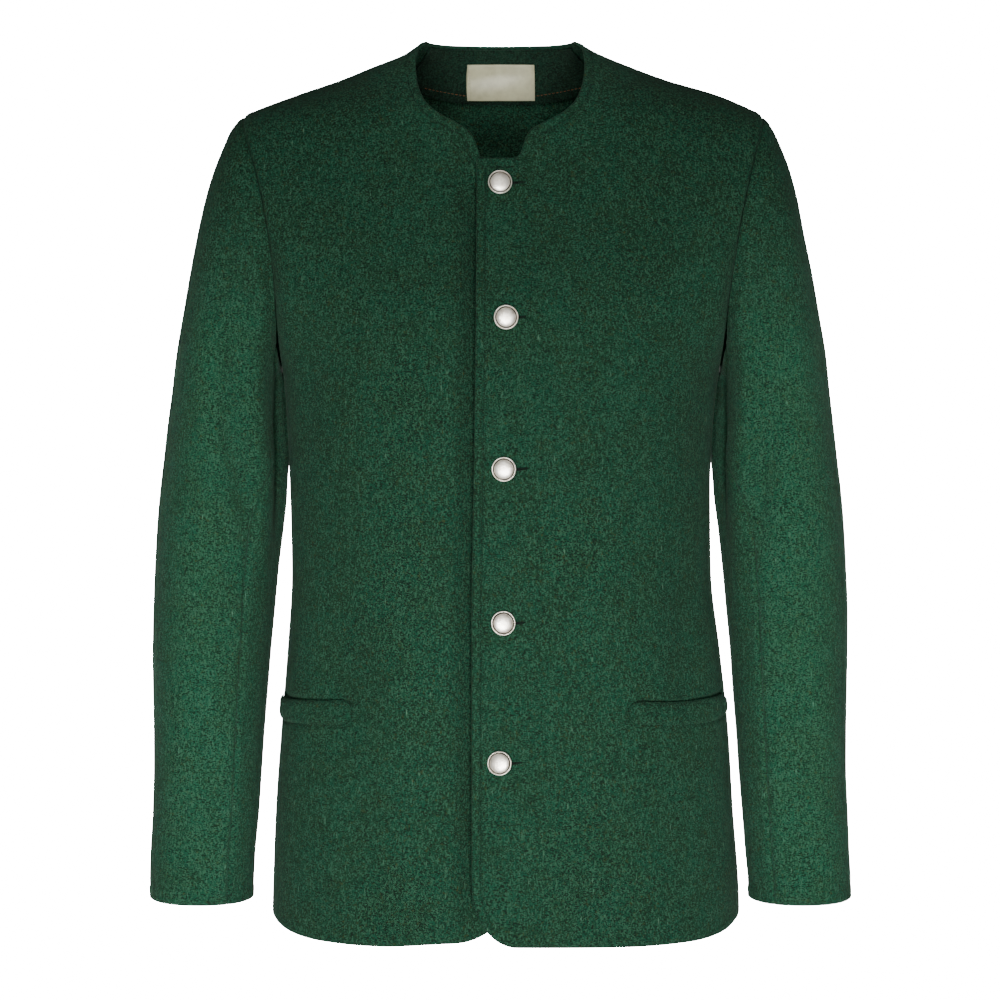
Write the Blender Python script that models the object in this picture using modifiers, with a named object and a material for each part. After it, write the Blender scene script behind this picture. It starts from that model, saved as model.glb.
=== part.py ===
"""A man's boiled wool cardigan jacket, hollow, standing filled out as when it is worn.

The body is one closed form, given ring by ring in a table of sizes, and cut into a back and two
fronts along the side seams, the shoulder seams and the armholes. Each sleeve is a fan of rings
that turns about the underarm from the armhole to level rings, cut into a top and an under sleeve.
Every cloth piece is a wall: outer points, inner points one cloth thickness further in, and a rim.

Sizes are in millimetres and become metres in the meshes. X runs to the wearer's left, -Y is the
front, Z is up. The origin lies between the two neck points of the shoulder seams, where the
wearer's shoulders carry the garment. Shapes of one side are worked out at positive X and then
mirrored, so "across" below means the distance from the middle towards that side.
"""
import math

import bpy
import mathutils
import numpy as np

MM = 0.001

CLOTH = 2.2
SEAM_GAP = 0.3
LAP_GAP = 0.5
LAP_FLAT = 7.0
LAP_SLOPE = 14.0
LAID_GAP = 0.5

RIM_Z = 13.0
TIP_Z = -52.0
UNDERARM_Z = -274.0
NOTCH_Z = -94.8
SEAM_ANGLE = 94.0
SQUARENESS = 0.05

# The body's rings: height, half width on the wearer's right and left, place of the ring's middle
# from front to back, and depth from there to the front and to the back.
BODY_COLUMNS = ("height", "half_right", "half_left", "middle", "front", "back")
BODY = (
    (13, 64, 64, 12, 34, 50),
    (5, 74, 76, 12, 38, 53),
    (0, 82, 86, 11, 42, 55),
    (-10, 107, 110, 10, 46, 60),
    (-22, 136, 142, 8, 51, 66),
    (-36, 176, 188, 6, 60, 74),
    (-52, 216, 222, 5, 70, 82),
    (-62, 231, 234, 5, 74, 87),
    (-75, 241, 243, 5, 78, 92),
    (-89, 246, 248, 5, 81, 96),
    (-129, 247, 249, 5, 92, 106),
    (-179, 236, 238, 5, 107, 111),
    (-229, 210, 211, 5, 120, 111),
    (-274, 184, 185.5, 5, 121, 107),
    (-370, 178.5, 178.5, 5, 117, 97),
    (-438, 177, 179.5, 5, 116, 96),
    (-506, 181, 187, 5, 117, 100),
    (-575, 186, 194, 5, 119, 106),
    (-642, 190.5, 198, 5, 121, 111),
    (-711, 193, 203, 5, 123, 115),
    (-750, 194, 204, 5, 123, 116),
)

# The front run of the armhole seam, from the shoulder tip down to the underarm.
ARMHOLE_COLUMNS = ("height", "across_right", "across_left")
ARMHOLE = (
    (-52, 216, 222),
    (-88, 208, 213.5),
    (-122, 200.5, 207),
    (-150, 195.5, 201.5),
    (-179, 191.5, 197),
    (-214, 188.5, 192),
    (-250, 186, 188),
    (-274, 184, 185.5),
)
BACK_ARMHOLE_WIDER = 3.0

# The neckline from the foot of the notch up to the neck point of the shoulder seam.
# across, height
NECKLINE = (
    (13.0, -94.8),
    (17.2, -91.0),
    (19.3, -85.0),
    (22.0, -77.0),
    (26.0, -70.5),
    (38.7, -63.3),
    (54.2, -54.0),
    (65.0, -41.5),
    (70.3, -25.6),
    (72.0, -9.0),
    (70.0, 4.0),
    (64.0, 13.0),
)

# The over-front's free edge, which passes the middle towards the wearer's right.
EDGE_COLUMNS = ("height", "over", "under")
EDGE = (
    (-94, 19.0, 18.0),
    (-230, 19.5, 18.0),
    (-340, 20.9, 18.0),
    (-480, 23.0, 18.0),
    (-640, 23.0, 18.0),
    (-750, 22.6, 18.0),
)

# Height of the hem round the body, by the angle from the middle of the front.
HEM_COLUMNS = ("angle", "right", "left")
HEM = (
    (-10, -742.5, -746),
    (10, -743, -746.5),
    (30, -746.5, -747),
    (48, -744, -745),
    (62, -739, -740),
    (76, -732, -732),
    (94, -727, -727),
    (130, -731, -731),
    (180, -735, -735),
)

# The rounded lower corner of each front: how far it reaches along the hem and up the edge.
# front: reach along the hem, reach up the edge
CORNER = {"over": (37.0, 50.0), "under": (54.0, 70.0)}

# The sleeve's rings, from the armhole to the cuff. Each has a point against the body (in) and a
# point on the outer side (out), its middle from front to back, and its depth to front and back.
SLEEVE_COLUMNS = ("in_z", "out_z", "in_right", "in_left", "out_right", "out_left",
                  "middle", "front", "back")
SLEEVE = (
    (-274, -52, 183.6, 185.1, 216, 222, 5, 62, 64),
    (-275.5, -62, 184.6, 186.1, 226, 230, 5, 63, 65),
    (-277, -78, 184.8, 186.3, 234, 238, 6, 65, 66),
    (-279, -98, 184.8, 186.2, 242.5, 246, 8, 66, 67),
    (-281, -123, 184.6, 186.1, 250.5, 253, 10, 66, 68),
    (-283.5, -153, 184.4, 185.8, 257.5, 259, 12, 68, 69),
    (-286.5, -186, 184.2, 185.4, 264, 266, 13, 69, 70),
    (-290, -220, 184.0, 185.0, 270, 272, 14, 70, 70),
    (-295, -255, 183.4, 184.0, 276, 278, 15, 70, 70),
    (-305, -288, 182.8, 183.3, 280, 281.5, 16, 70, 69),
    (-322, -318, 182.0, 182.4, 284, 285, 16, 69, 68),
    (-345, -345, 181.0, 181.2, 287, 288, 16, 68, 67),
    (-372, -372, 181.5, 182.2, 290, 291, 14, 67, 66),
    (-404, -404, 184.5, 186.0, 292.5, 293.5, 12, 65, 64),
    (-438, -438, 188.5, 189.5, 294, 295, 9, 63, 62),
    (-472, -472, 191.5, 192.5, 295, 296, 6, 61, 60),
    (-506, -506, 194.5, 195.5, 295.5, 295.5, 2, 59, 58),
    (-540, -540, 197.0, 197.5, 294.5, 294.5, -3, 56, 56),
    (-574, -574, 199.5, 200.0, 293.5, 293.5, -8, 53, 53),
    (-608, -608, 201.5, 202.0, 293, 293, -13, 50, 50),
    (-642, -642, 203.5, 204.5, 293.5, 294, -18, 47, 47),
    (-676, -676, 206.5, 207.0, 295, 295, -22, 44, 44),
    (-698, -698, 207.5, 209.0, 295.5, 296, -24, 42, 42),
    (-713, -713, 208.0, 209.5, 295, 296, -25, 41, 41),
)
FAN_RINGS = 10
CUFF_DIP = 4.0

# Where the seams between top and under sleeve run: angle round the ring from the inner side.
SLEEVE_SEAM_COLUMNS = ("height", "forearm", "hind")
SLEEVE_SEAM = (
    (-713, 56, 52),
    (-440, 56, 52),
    (-400, 54, 50),
    (-368, 48, 46),
    (-345, 30, 38),
    (-326, 18, 34),
    (-300, 22, 34),
    (-274, 28, 36),
)

# The largest folds, as soft troughs (negative) and ridges in the outer surface. On the body,
# "where" is the distance across; on a sleeve it is the angle round the ring.
# face, side, where, height, half size across and up, rise
BODY_FOLDS = (
    ("front", "right", 136, -520, 32, 66, -8.0),
    ("front", "right", 84, -520, 20, 70, 2.2),
    ("front", "right", 56, -400, 18, 190, 1.6),
    ("front", "left", 158, -492, 20, 62, -5.5),
    ("front", "left", 92, -142, 44, 22, -2.6),
    ("front", "right", 120, -190, 18, 60, -2.6),
    ("front", "right", 100, -330, 34, 120, 2.2),
    ("front", "left", 110, -340, 36, 110, 2.0),
    ("back", "right", 70, -380, 60, 22, -4.0),
    ("back", "left", 62, -420, 70, 20, -3.4),
    ("back", "left", 120, -200, 26, 70, -3.0),
    ("back", "right", 126, -215, 24, 70, -3.2),
)
# side, where, height, half angle, half height, slant (degrees for each mm up), rise
SLEEVE_FOLDS = (
    ("right", 77, -335, 14, 84, 0.28, -7.5),
    ("left", 75, -348, 14, 82, 0.26, -7.5),
    ("right", 54, -315, 14, 80, 0.1, 3.0),
    ("left", 55, -310, 14, 76, 0.1, 3.0),
    ("right", 262, -372, 40, 16, 0.0, -4.0),
    ("left", 268, -384, 40, 16, 0.0, -4.0),
    ("right", 276, -420, 44, 16, 0.0, -3.0),
    ("left", 262, -436, 44, 16, 0.0, -3.0),
)

# The soft trough in which the under-front lies beside the over-front's edge. It is deepest a little
# way in below the over-front.
LAP_TROUGH_COLUMNS = ("height", "depth")
LAP_TROUGH = (
    (-95, 3.0),
    (-125, 11.0),
    (-165, 15.5),
    (-205, 16.5),
    (-260, 16.0),
    (-330, 15.0),
    (-480, 15.5),
    (-600, 15.0),
    (-700, 13.0),
    (-750, 5.0),
)
LAP_TROUGH_WIDE = 13.0
LAP_TROUGH_IN = 4.0

ARMHOLE_STEPS = 14
LOW_STEPS = 13
NOTCH_STEPS = 3
CLOSE_STEPS = 6
CLOSE_SHARE = 0.6
NECK_STEPS = 9
SHOULDER_STEPS = 7
BACK_NECK_STEPS = 14
UNDER_STEPS = 3

FACING_DEPTH = 47.0
FACING_HALF_WIDE = 76.0
FACING_END_RISE = 10.0
FACING_END_ANGLE = 112.0
FACING_EDGE = 1.5
FACING_GAP = 1.7
FACING_THICK = 1.2
LABEL_WIDE = 61.0
LABEL_HIGH = 29.5
LABEL_THICK = 1.0
LABEL_TOP_Z = -0.5

# Pocket welts: side, and the angles round the body at their two ends.
WELTS = (("left", 32.0, 79.5), ("right", 40.5, 88.5))
WELT_TOP_Z = -546.0
WELT_FOOT_Z = -565.5
WELT_THICK = 2.0
WELT_ROUND = 7.0
WELT_CROWN = 0.35

# Radius of the body where the welts lie, which turns lengths round it into angles.
ROUND_BODY = 150.0

# across, height
BUTTONS = ((0.0, -116.0), (4.9, -228.9), (3.3, -353.8), (2.5, -480.4), (0.0, -595.4))
BUTTON_RADIUS = 10.2
BUTTON_RIM_HIGH = 2.6
BUTTON_GROOVE_RADIUS = 8.5
BUTTON_GROOVE_HIGH = 1.7
BUTTON_DOME_RADIUS = 8.1
BUTTON_DOME_HIGH = 4.8
BUTTON_SIDES = 20

WOOL = (0.022, 0.068, 0.042)
WELT_WOOL = (0.020, 0.062, 0.039)
FACING_WOOL = (0.014, 0.036, 0.022)
SATIN = (0.62, 0.60, 0.48)
SILVER = (0.42, 0.40, 0.36)


def smooth(at, xs, ys):
    """A curve through the points (xs, ys) that never overshoots them: cubic pieces whose slope at
    each point is the harmonic mean of the straight slopes on both sides, or 0 at a turning."""
    order = np.argsort(xs)
    xs = np.asarray(xs, float)[order]
    ys = np.asarray(ys, float)[order]
    step = np.diff(ys) / np.diff(xs)
    same = step[1:] * step[:-1] > 0
    total = np.where(same, step[1:] + step[:-1], 1.0)
    slope = np.concatenate(([step[0]], np.where(same, 2 * step[1:] * step[:-1] / total, 0), [step[-1]]))
    at = np.clip(at, xs[0], xs[-1])
    i = np.clip(np.searchsorted(xs, at, side="right") - 1, 0, len(xs) - 2)
    wide = xs[i + 1] - xs[i]
    q = (at - xs[i]) / wide
    start = ys[i] * (1 + 2 * q) * (1 - q) ** 2 + slope[i] * wide * q * (1 - q) ** 2
    end = ys[i + 1] * q * q * (3 - 2 * q) - slope[i + 1] * wide * q * q * (1 - q)
    return start + end


def look(table, columns, name, at):
    """The named column of a table, read smoothly against its first column."""
    keys = [row[0] for row in table]
    return smooth(np.asarray(at, float), keys, [row[columns.index(name)] for row in table])


def ease(q):
    """0 below 0, 1 above 1, and a smooth S between."""
    q = np.clip(q, 0, 1)
    return q * q * (3 - 2 * q)


def unit(v):
    return v / np.maximum(np.linalg.norm(v, axis=-1, keepdims=True), 1e-9)


def bell(distance):
    """A soft bump: 1 at distance 0, close to 0 at distance 2."""
    return np.exp(-distance ** 2)


def fuller(angle):
    """How much fuller than an ellipse a body ring is at this angle, so that it is a little square."""
    return 1 + SQUARENESS * np.sin(2 * angle) ** 2


def body_ring(degrees, z, side):
    """The body's form: across = half width x sin, y = middle - depth x cos, both times fuller."""
    angle = np.radians(degrees)
    half = look(BODY, BODY_COLUMNS, "half_" + side, z)
    front = look(BODY, BODY_COLUMNS, "front", z)
    back = look(BODY, BODY_COLUMNS, "back", z)
    depth = np.where(np.cos(angle) > 0, front, back)
    x = half * np.sin(angle) * fuller(angle)
    y = look(BODY, BODY_COLUMNS, "middle", z) - depth * np.cos(angle) * fuller(angle)
    return np.stack([x, y, z + 0 * x], axis=-1)


def body_normal(degrees, z, side):
    """Outward normal of the body's form, from small steps round the ring and up."""
    turn = 0.5
    rise = 1.0
    round_step = body_ring(degrees + turn, z, side) - body_ring(degrees - turn, z, side)
    up_step = body_ring(degrees, z + rise, side) - body_ring(degrees, z - rise, side)
    return unit(np.cross(round_step, up_step))


def body_fold(points, side):
    """Sum of the folds on one side: each is a bell over the distances across and up."""
    rise = np.zeros(points.shape[:-1])
    for face, fold_side, where, height, half_wide, half_high, high in BODY_FOLDS:
        if fold_side != side:
            continue
        on_face = ease(0.5 + (-1 if face == "front" else 1) * (points[..., 1] - 5) / 30)
        across = (points[..., 0] - where) / half_wide
        up = (points[..., 2] - height) / half_high
        rise += high * bell(across) * bell(up) * on_face
    return rise


def body_angle(across, z, side):
    """The angle on the front of the ring at this height whose distance across is given."""
    table = np.linspace(-90, 90, 721)
    reach = np.sin(np.radians(table)) * fuller(np.radians(table))
    share = across / look(BODY, BODY_COLUMNS, "half_" + side, z)
    return np.interp(np.clip(share, -1, 1), reach, table)


def armhole(side):
    """The armhole's front and back runs as (angle, height), from the underarm to the shoulder tip.
    The height goes by a cosine, so that the points lie evenly round the oval."""
    s = np.arange(ARMHOLE_STEPS + 1) / ARMHOLE_STEPS
    z = UNDERARM_Z + (TIP_Z - UNDERARM_Z) * (1 - np.cos(np.pi * s)) / 2
    across = look(ARMHOLE, ARMHOLE_COLUMNS, "across_" + side, z)
    lean = (SEAM_ANGLE - 90) * np.cos(np.pi * s) ** 4
    front = body_angle(across, z, side) + lean
    back = 180 - body_angle(across + BACK_ARMHOLE_WIDER * np.sin(np.pi * s), z, side) + lean
    front[[0, -1]] = SEAM_ANGLE
    back[[0, -1]] = SEAM_ANGLE
    return front, back, z


def sleeve_oval(c, ring, side):
    """One ring of the sleeve at places c round it: 0 is the inner side against the body, 0.5 the
    front, 1 the outer side, 1.5 the back. From its inner to its outer point the ring goes by a
    cosine, and to front and back by a sine times its depth."""
    rings = np.arange(len(SLEEVE), dtype=float)
    value = {}
    for name in SLEEVE_COLUMNS:
        column = [row[SLEEVE_COLUMNS.index(name)] for row in SLEEVE]
        value[name] = smooth(ring, rings, column)
    angle = np.pi * c
    share = (1 - np.cos(angle)) / 2
    x = value["in_" + side] + (value["out_" + side] - value["in_" + side]) * share
    z = value["in_z"] + (value["out_z"] - value["in_z"]) * share
    depth = np.where(np.sin(angle) > 0, value["front"], value["back"])
    y = value["middle"] - depth * np.sin(angle) * fuller(angle)
    return np.stack([x, y, z], axis=-1)


def sleeve_form(c, ring, side):
    """The sleeve: its first ring is the armhole itself, and what the armhole differs from an oval
    by fades out over the fan of rings. The cuff dips a little at the front."""
    c = np.mod(c, 2.0) + 0 * ring
    ring = ring + 0 * c
    point = sleeve_oval(c, ring, side)
    front, back, loop_z = armhole(side)
    steps = np.arange(ARMHOLE_STEPS + 1) / ARMHOLE_STEPS
    places = np.concatenate((steps, 2 - steps[-2::-1]))
    angles = np.concatenate((front, back[-2::-1]))
    heights = np.concatenate((loop_z, loop_z[-2::-1]))
    loop = body_ring(angles, heights, side) - sleeve_oval(places, 0 * places, side)
    fade = np.clip(1 - ring / FAN_RINGS, 0, 1) ** 2
    for axis in range(3):
        point[..., axis] += fade * np.interp(c, places, loop[:, axis])
    near_cuff = ease((ring - len(SLEEVE) + 4) / 3)
    point[..., 2] -= CUFF_DIP * np.maximum(np.sin(np.pi * c), 0) * near_cuff
    return point


def sleeve_normal(c, ring, side):
    """Outward normal of the sleeve's form, from small steps along it and round it."""
    step = 0.02
    low = np.maximum(ring - step, 0)
    high = np.minimum(ring + step, len(SLEEVE) - 1)
    along = sleeve_form(c, high, side) - sleeve_form(c, low, side)
    round_step = sleeve_form(c + step, ring, side) - sleeve_form(c - step, ring, side)
    return unit(np.cross(along, round_step))


def sleeve_fold(c, ring, points, side):
    """Sum of the sleeve's folds, none at the armhole: bells over the angle and the height."""
    degrees = 180 * np.mod(c, 2.0) + 0 * ring
    rise = np.zeros(points.shape[:-1])
    for fold_side, where, height, half_angle, half_high, slant, high in SLEEVE_FOLDS:
        if fold_side == side:
            up = points[..., 2] - height
            rise += high * bell((degrees - where - slant * up) / half_angle) * bell(up / half_high)
    return rise * ease(ring / 4)


def armhole_joint(side):
    """Where body and sleeve meet, at each step round the armhole: the directions in which the
    body's and the sleeve's wall run inwards, and the way from the seam into the body's panel.
    The two walls are mitred where the cloth bends a little, and stay square where it folds."""
    front, back, loop_z = armhole(side)
    angles = np.concatenate((front, back[-2:0:-1]))
    heights = np.concatenate((loop_z, loop_z[-2:0:-1]))
    c = np.arange(2 * ARMHOLE_STEPS) / ARMHOLE_STEPS
    points = body_ring(angles, heights, side)
    of_body = body_normal(angles, heights, side)
    of_sleeve = sleeve_normal(c, 0 * c, side)
    run = unit(np.roll(points, -1, axis=0) - np.roll(points, 1, axis=0))
    of_body = unit(of_body - run * np.sum(of_body * run, axis=-1, keepdims=True))
    of_sleeve = unit(of_sleeve - run * np.sum(of_sleeve * run, axis=-1, keepdims=True))
    into_body = np.cross(of_body, run)
    into_sleeve = -np.cross(of_sleeve, run)
    away = unit((into_body - into_sleeve) - (of_body - of_sleeve))
    middle = unit(of_body + of_sleeve + 1e-6 * into_body)
    cosine = np.maximum(np.sum(middle * of_body, axis=-1, keepdims=True), 0.3)
    share = ease((cosine - 0.5) / 0.3)
    mitre = -middle * CLOTH / cosine
    body_in = share * mitre - (1 - share) * of_body * CLOTH
    sleeve_in = share * mitre - (1 - share) * of_sleeve * CLOTH
    return body_in, sleeve_in, away


def seam_shift(points, normal, edge):
    """Half the seam gap, square to a grid's edge and into the piece. "edge" names rows or columns."""
    if edge == "last column":
        line, inside, face = points[:, -1], points[:, -2], normal[:, -1]
    elif edge == "first column":
        line, inside, face = points[:, 0], points[:, 1], normal[:, 0]
    else:
        line, inside, face = points[-1], points[-2], normal[-1]
    into = unit(np.cross(face, unit(np.gradient(line, axis=0))))
    way = np.where(np.sum(into * (inside - line), axis=-1, keepdims=True) > 0, 1, -1)
    return into * way * SEAM_GAP / 2


def patch(left, right, foot, top):
    """Grid between four lines of (angle, height): straight across from left to right, with the
    foot's own shape fading out over the lowest rows and the top's over the armhole's rows."""
    rows = len(left)
    u = ((foot[:, 0] - foot[0, 0]) / (foot[-1, 0] - foot[0, 0]))[None, :, None]
    row = np.arange(rows)[:, None, None]
    low = np.clip(1 - row / 4, 0, 1) ** 2
    high = np.clip((row - LOW_STEPS) / ARMHOLE_STEPS, 0, 1) ** 2
    seam = np.stack([np.full(rows, SEAM_ANGLE), right[:, 1]], axis=-1)
    grid = (1 - u) * left[:, None] + u * seam[:, None] + u * ease(u / 0.3) * (right - seam)[:, None]
    grid = grid + low * (foot[None] - ((1 - u) * foot[0] + u * foot[-1]))
    return grid + high * (top[None] - ((1 - u) * top[0] + u * top[-1]))


def low_shares():
    """How far up from the hem to the underarm each low row lies: closer rows at the hem."""
    return np.concatenate(([0, 0.045, 0.095], np.linspace(0.095, 1, LOW_STEPS - 1)[1:]))


def seam_line(side, face):
    """The side seam and then the armhole, as (angle, height) from the hem to the shoulder tip."""
    foot = look(HEM, HEM_COLUMNS, side, SEAM_ANGLE)
    low_z = foot + (UNDERARM_Z - foot) * low_shares()
    front, back, loop_z = armhole(side)
    loop = front if face == "front" else back
    low_angle = np.full(LOW_STEPS + 1, SEAM_ANGLE)
    angle = np.concatenate((low_angle[:-1], loop))
    return np.stack([angle, np.concatenate((low_z[:-1], loop_z))], axis=-1)


def shoulder_line():
    """The shoulder seam from the neck point to the tip, as (angle, height)."""
    z = np.linspace(RIM_Z, TIP_Z, SHOULDER_STEPS + 1)
    return np.stack([np.full_like(z, SEAM_ANGLE), z], axis=-1)


def neck_line(side, edge_across):
    """A front's notch and neckline, evenly stepped, as (angle, height)."""
    across = np.array([row[0] for row in NECKLINE])
    height = np.array([row[1] for row in NECKLINE])
    length = np.concatenate(([0], np.cumsum(np.hypot(np.diff(across), np.diff(height)))))
    at = np.linspace(0, length[-1], NECK_STEPS + 1)
    across = smooth(at, length, across)
    height = smooth(at, length, height)
    flat = np.linspace(edge_across, across[0], NOTCH_STEPS + 1)[:-1]
    across = np.concatenate((flat, across))
    height = np.concatenate((np.full(NOTCH_STEPS, NOTCH_Z), height))
    angle = body_angle(across, height, side)
    angle[-1] = SEAM_ANGLE
    return np.stack([angle, height], axis=-1)


def front_grid(side, kind):
    """A front's grid of (angle, height). "kind" is over or under."""
    along, up = CORNER[kind]
    middle_hem = look(HEM, HEM_COLUMNS, side, 0.0)
    slope = math.sqrt(0.5)
    corner_z = middle_hem + up * (1 - slope)
    low_z = corner_z + (UNDERARM_Z - corner_z) * low_shares()
    z = np.concatenate((low_z, np.linspace(UNDERARM_Z, NOTCH_Z, ARMHOLE_STEPS + 1)[1:]))
    sine = np.clip(1 - (z - middle_hem) / up, 0, 1)
    across = -look(EDGE, EDGE_COLUMNS, kind, z) + along * (1 - np.sqrt(1 - sine ** 2))
    left = np.stack([body_angle(across, z, side), z], axis=-1)
    right = seam_line(side, "front")
    top = np.concatenate((neck_line(side, across[-1]), shoulder_line()[1:]))
    steps = np.ones(len(top) - 1)
    steps[:CLOSE_STEPS] = CLOSE_SHARE
    share = np.concatenate(([0], np.cumsum(steps))) / steps.sum()
    angle = left[0, 0] + (SEAM_ANGLE - left[0, 0]) * share
    foot_z = look(HEM, HEM_COLUMNS, side, angle)
    foot_x = body_ring(angle, foot_z, side)[:, 0]
    arc_end = across[0] + along * slope
    reach = np.clip((arc_end - foot_x) / along, 0, slope)
    foot_z = foot_z + up * (1 - np.sqrt(1 - reach ** 2))
    foot_z[0] = corner_z
    return patch(left, right, np.stack([angle, foot_z], axis=-1), top)


def back_grid(side):
    """Half the back's grid of (angle, height), from the middle of the back to one side."""
    foot_angle = np.linspace(180, SEAM_ANGLE, BACK_NECK_STEPS // 2 + SHOULDER_STEPS + 1)
    foot_z = look(HEM, HEM_COLUMNS, side, foot_angle)
    low_z = foot_z[0] + (UNDERARM_Z - foot_z[0]) * low_shares()
    z = np.concatenate((low_z, np.linspace(UNDERARM_Z, RIM_Z, ARMHOLE_STEPS + 1)[1:]))
    left = np.stack([np.full_like(z, 180.0), z], axis=-1)
    neck = np.linspace(180, SEAM_ANGLE, BACK_NECK_STEPS // 2 + 1)
    neck = np.stack([neck, np.full_like(neck, RIM_Z)], axis=-1)
    top = np.concatenate((neck, shoulder_line()[1:]))
    return patch(left, seam_line(side, "back"), np.stack([foot_angle, foot_z], axis=-1), top)


def body_panel(grid, side, face, kind=None):
    """Outer and inner points of a body panel on one side, from its grid of (angle, height). The
    under-front sinks below the over-front's edge, by one cloth, the gap of the lap and a trough."""
    degrees, z = grid[..., 0], grid[..., 1]
    outer = body_ring(degrees, z, side)
    normal = body_normal(degrees, z, side)
    rise = body_fold(outer, side)
    if kind == "under":
        past = outer[..., 0] - look(EDGE, EDGE_COLUMNS, "over", z)
        rise = rise - (CLOTH + LAP_GAP) * (1 - ease((past - LAP_FLAT) / LAP_SLOPE))
        trough = look(LAP_TROUGH, LAP_TROUGH_COLUMNS, "depth", z)
        rise = rise - trough * bell((past + LAP_TROUGH_IN) / LAP_TROUGH_WIDE)
    outer = outer + normal * rise[..., None]
    inward = -normal * CLOTH
    shift = np.zeros_like(outer)
    body_in, _, away = armhole_joint(side)
    steps = np.arange(ARMHOLE_STEPS + 1)
    loop = steps if face == "front" else -steps
    inward[LOW_STEPS:, -1] = body_in[loop]
    shift[:, -1] += seam_shift(outer, normal, "last column")
    shift[LOW_STEPS:, -1] = away[loop] * SEAM_GAP / 2
    shift[LOW_STEPS, -1] += seam_shift(outer, normal, "last column")[LOW_STEPS - 1]
    shift[-1, -SHOULDER_STEPS - 1:] += seam_shift(outer, normal, "last row")[-SHOULDER_STEPS - 1:]
    return outer + shift, outer + shift + inward


def sleeve_panel(side, part):
    """Outer and inner points of a top or under sleeve. Its columns start on the armhole's steps
    and slide to where the seams between the two parts run."""
    ring = np.arange(len(SLEEVE), dtype=float)[:, None]
    in_z = np.array([row[0] for row in SLEEVE], float)[:, None]
    start = UNDER_STEPS / ARMHOLE_STEPS
    turn = ease(ring / 4)
    forearm = look(SLEEVE_SEAM, SLEEVE_SEAM_COLUMNS, "forearm", in_z) / 180
    hind = look(SLEEVE_SEAM, SLEEVE_SEAM_COLUMNS, "hind", in_z) / 180
    forearm = start + (forearm - start) * turn
    hind = start + (hind - start) * turn
    if part == "top":
        step = np.arange(2 * (ARMHOLE_STEPS - UNDER_STEPS) + 1)
        share = step[None] / step[-1]
        c = forearm + (2 - hind - forearm) * share
        loop = UNDER_STEPS + step
    else:
        step = np.arange(2 * UNDER_STEPS + 1)
        share = step[None] / step[-1]
        c = -hind + (forearm + hind) * share
        loop = step - UNDER_STEPS
    outer = sleeve_form(c, ring, side)
    normal = sleeve_normal(c, ring, side)
    outer = outer + normal * sleeve_fold(c, ring, outer, side)[..., None]
    inward = -normal * CLOTH
    shift = np.zeros_like(outer)
    _, sleeve_in, away = armhole_joint(side)
    loop = np.mod(loop, 2 * ARMHOLE_STEPS)
    inward[0] = sleeve_in[loop]
    shift[0] = -away[loop] * SEAM_GAP / 2
    shift[:, 0] += seam_shift(outer, normal, "first column")
    shift[:, -1] += seam_shift(outer, normal, "last column")
    return outer + shift, outer + shift + inward


def mirrored(points, side):
    """From distances across to X, which is negative on the wearer's right."""
    return points * np.array([1.0 if side == "left" else -1.0, 1.0, 1.0])


def material(name, colour, roughness, metallic=0.0):
    made = bpy.data.materials.get(name) or bpy.data.materials.new(name)
    made.use_nodes = True
    shader = made.node_tree.nodes["Principled BSDF"]
    shader.inputs["Base Color"].default_value = (*colour, 1.0)
    shader.inputs["Roughness"].default_value = roughness
    shader.inputs["Metallic"].default_value = metallic
    return made


def wall(name, outer, inner, finish):
    """One closed piece of cloth from its outer and inner points: two sheets joined by a rim. The
    rim's squares are halved from their lower end, so alike on both sides of a seam."""
    rows, columns = outer.shape[:2]
    count = rows * columns
    points = np.concatenate((outer.reshape(-1, 3), inner.reshape(-1, 3))) * MM
    number = np.arange(count).reshape(rows, columns)
    a, b = number[:-1, :-1].ravel(), number[:-1, 1:].ravel()
    c, d = number[1:, 1:].ravel(), number[1:, :-1].ravel()
    edge = np.concatenate((number[0, :-1], number[:-1, -1], number[-1, :0:-1], number[:0:-1, 0]))
    onward = np.roll(edge, -1)
    rising = (points[edge, 2] <= points[onward, 2])[:, None]
    first = np.where(rising, np.stack([onward, edge, onward + count], 1),
                     np.stack([onward, edge, edge + count], 1))
    second = np.where(rising, np.stack([edge, edge + count, onward + count], 1),
                      np.stack([onward, edge + count, onward + count], 1))
    faces = np.concatenate((
        np.stack([a, b, c], 1), np.stack([a, c, d], 1),
        np.stack([c, b, a], 1) + count, np.stack([d, c, a], 1) + count, first, second))
    centre = points.mean(axis=0)
    corners = points[faces] - centre
    volume = np.sum(corners[:, 0] * np.cross(corners[:, 1], corners[:, 2]))
    if volume < 0:
        faces = faces[:, ::-1]
    mesh = bpy.data.meshes.new(name)
    mesh.from_pydata(points.tolist(), [], faces.tolist())
    mesh.shade_smooth()
    mesh.set_sharp_from_angle(angle=math.radians(40))
    mesh.materials.append(finish)
    piece = bpy.data.objects.new(name, mesh)
    PARTS.objects.link(piece)
    return piece


def make_fronts(wool):
    for side, kind in (("left", "over"), ("right", "under")):
        outer, inner = body_panel(front_grid(side, kind), side, "front", kind)
        wall("front_" + side, mirrored(outer, side), mirrored(inner, side), wool)


def make_back(wool):
    """The back in one piece: both halves, joined at the middle column."""
    halves = {}
    for side in ("left", "right"):
        sheets = body_panel(back_grid(side), side, "back")
        halves[side] = [mirrored(sheet, side) for sheet in sheets]
    joined = []
    for left, right in zip(halves["left"], halves["right"]):
        middle = (left[:, :1] + right[:, :1]) / 2
        joined.append(np.concatenate((left[:, :0:-1], middle, right[:, 1:]), axis=1))
    wall("back", joined[0], joined[1], wool)


def make_sleeves(wool):
    for side in ("left", "right"):
        for part in ("top", "under"):
            outer, inner = sleeve_panel(side, part)
            name = "sleeve_" + side + "_" + part
            wall(name, mirrored(outer, side), mirrored(inner, side), wool)


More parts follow.
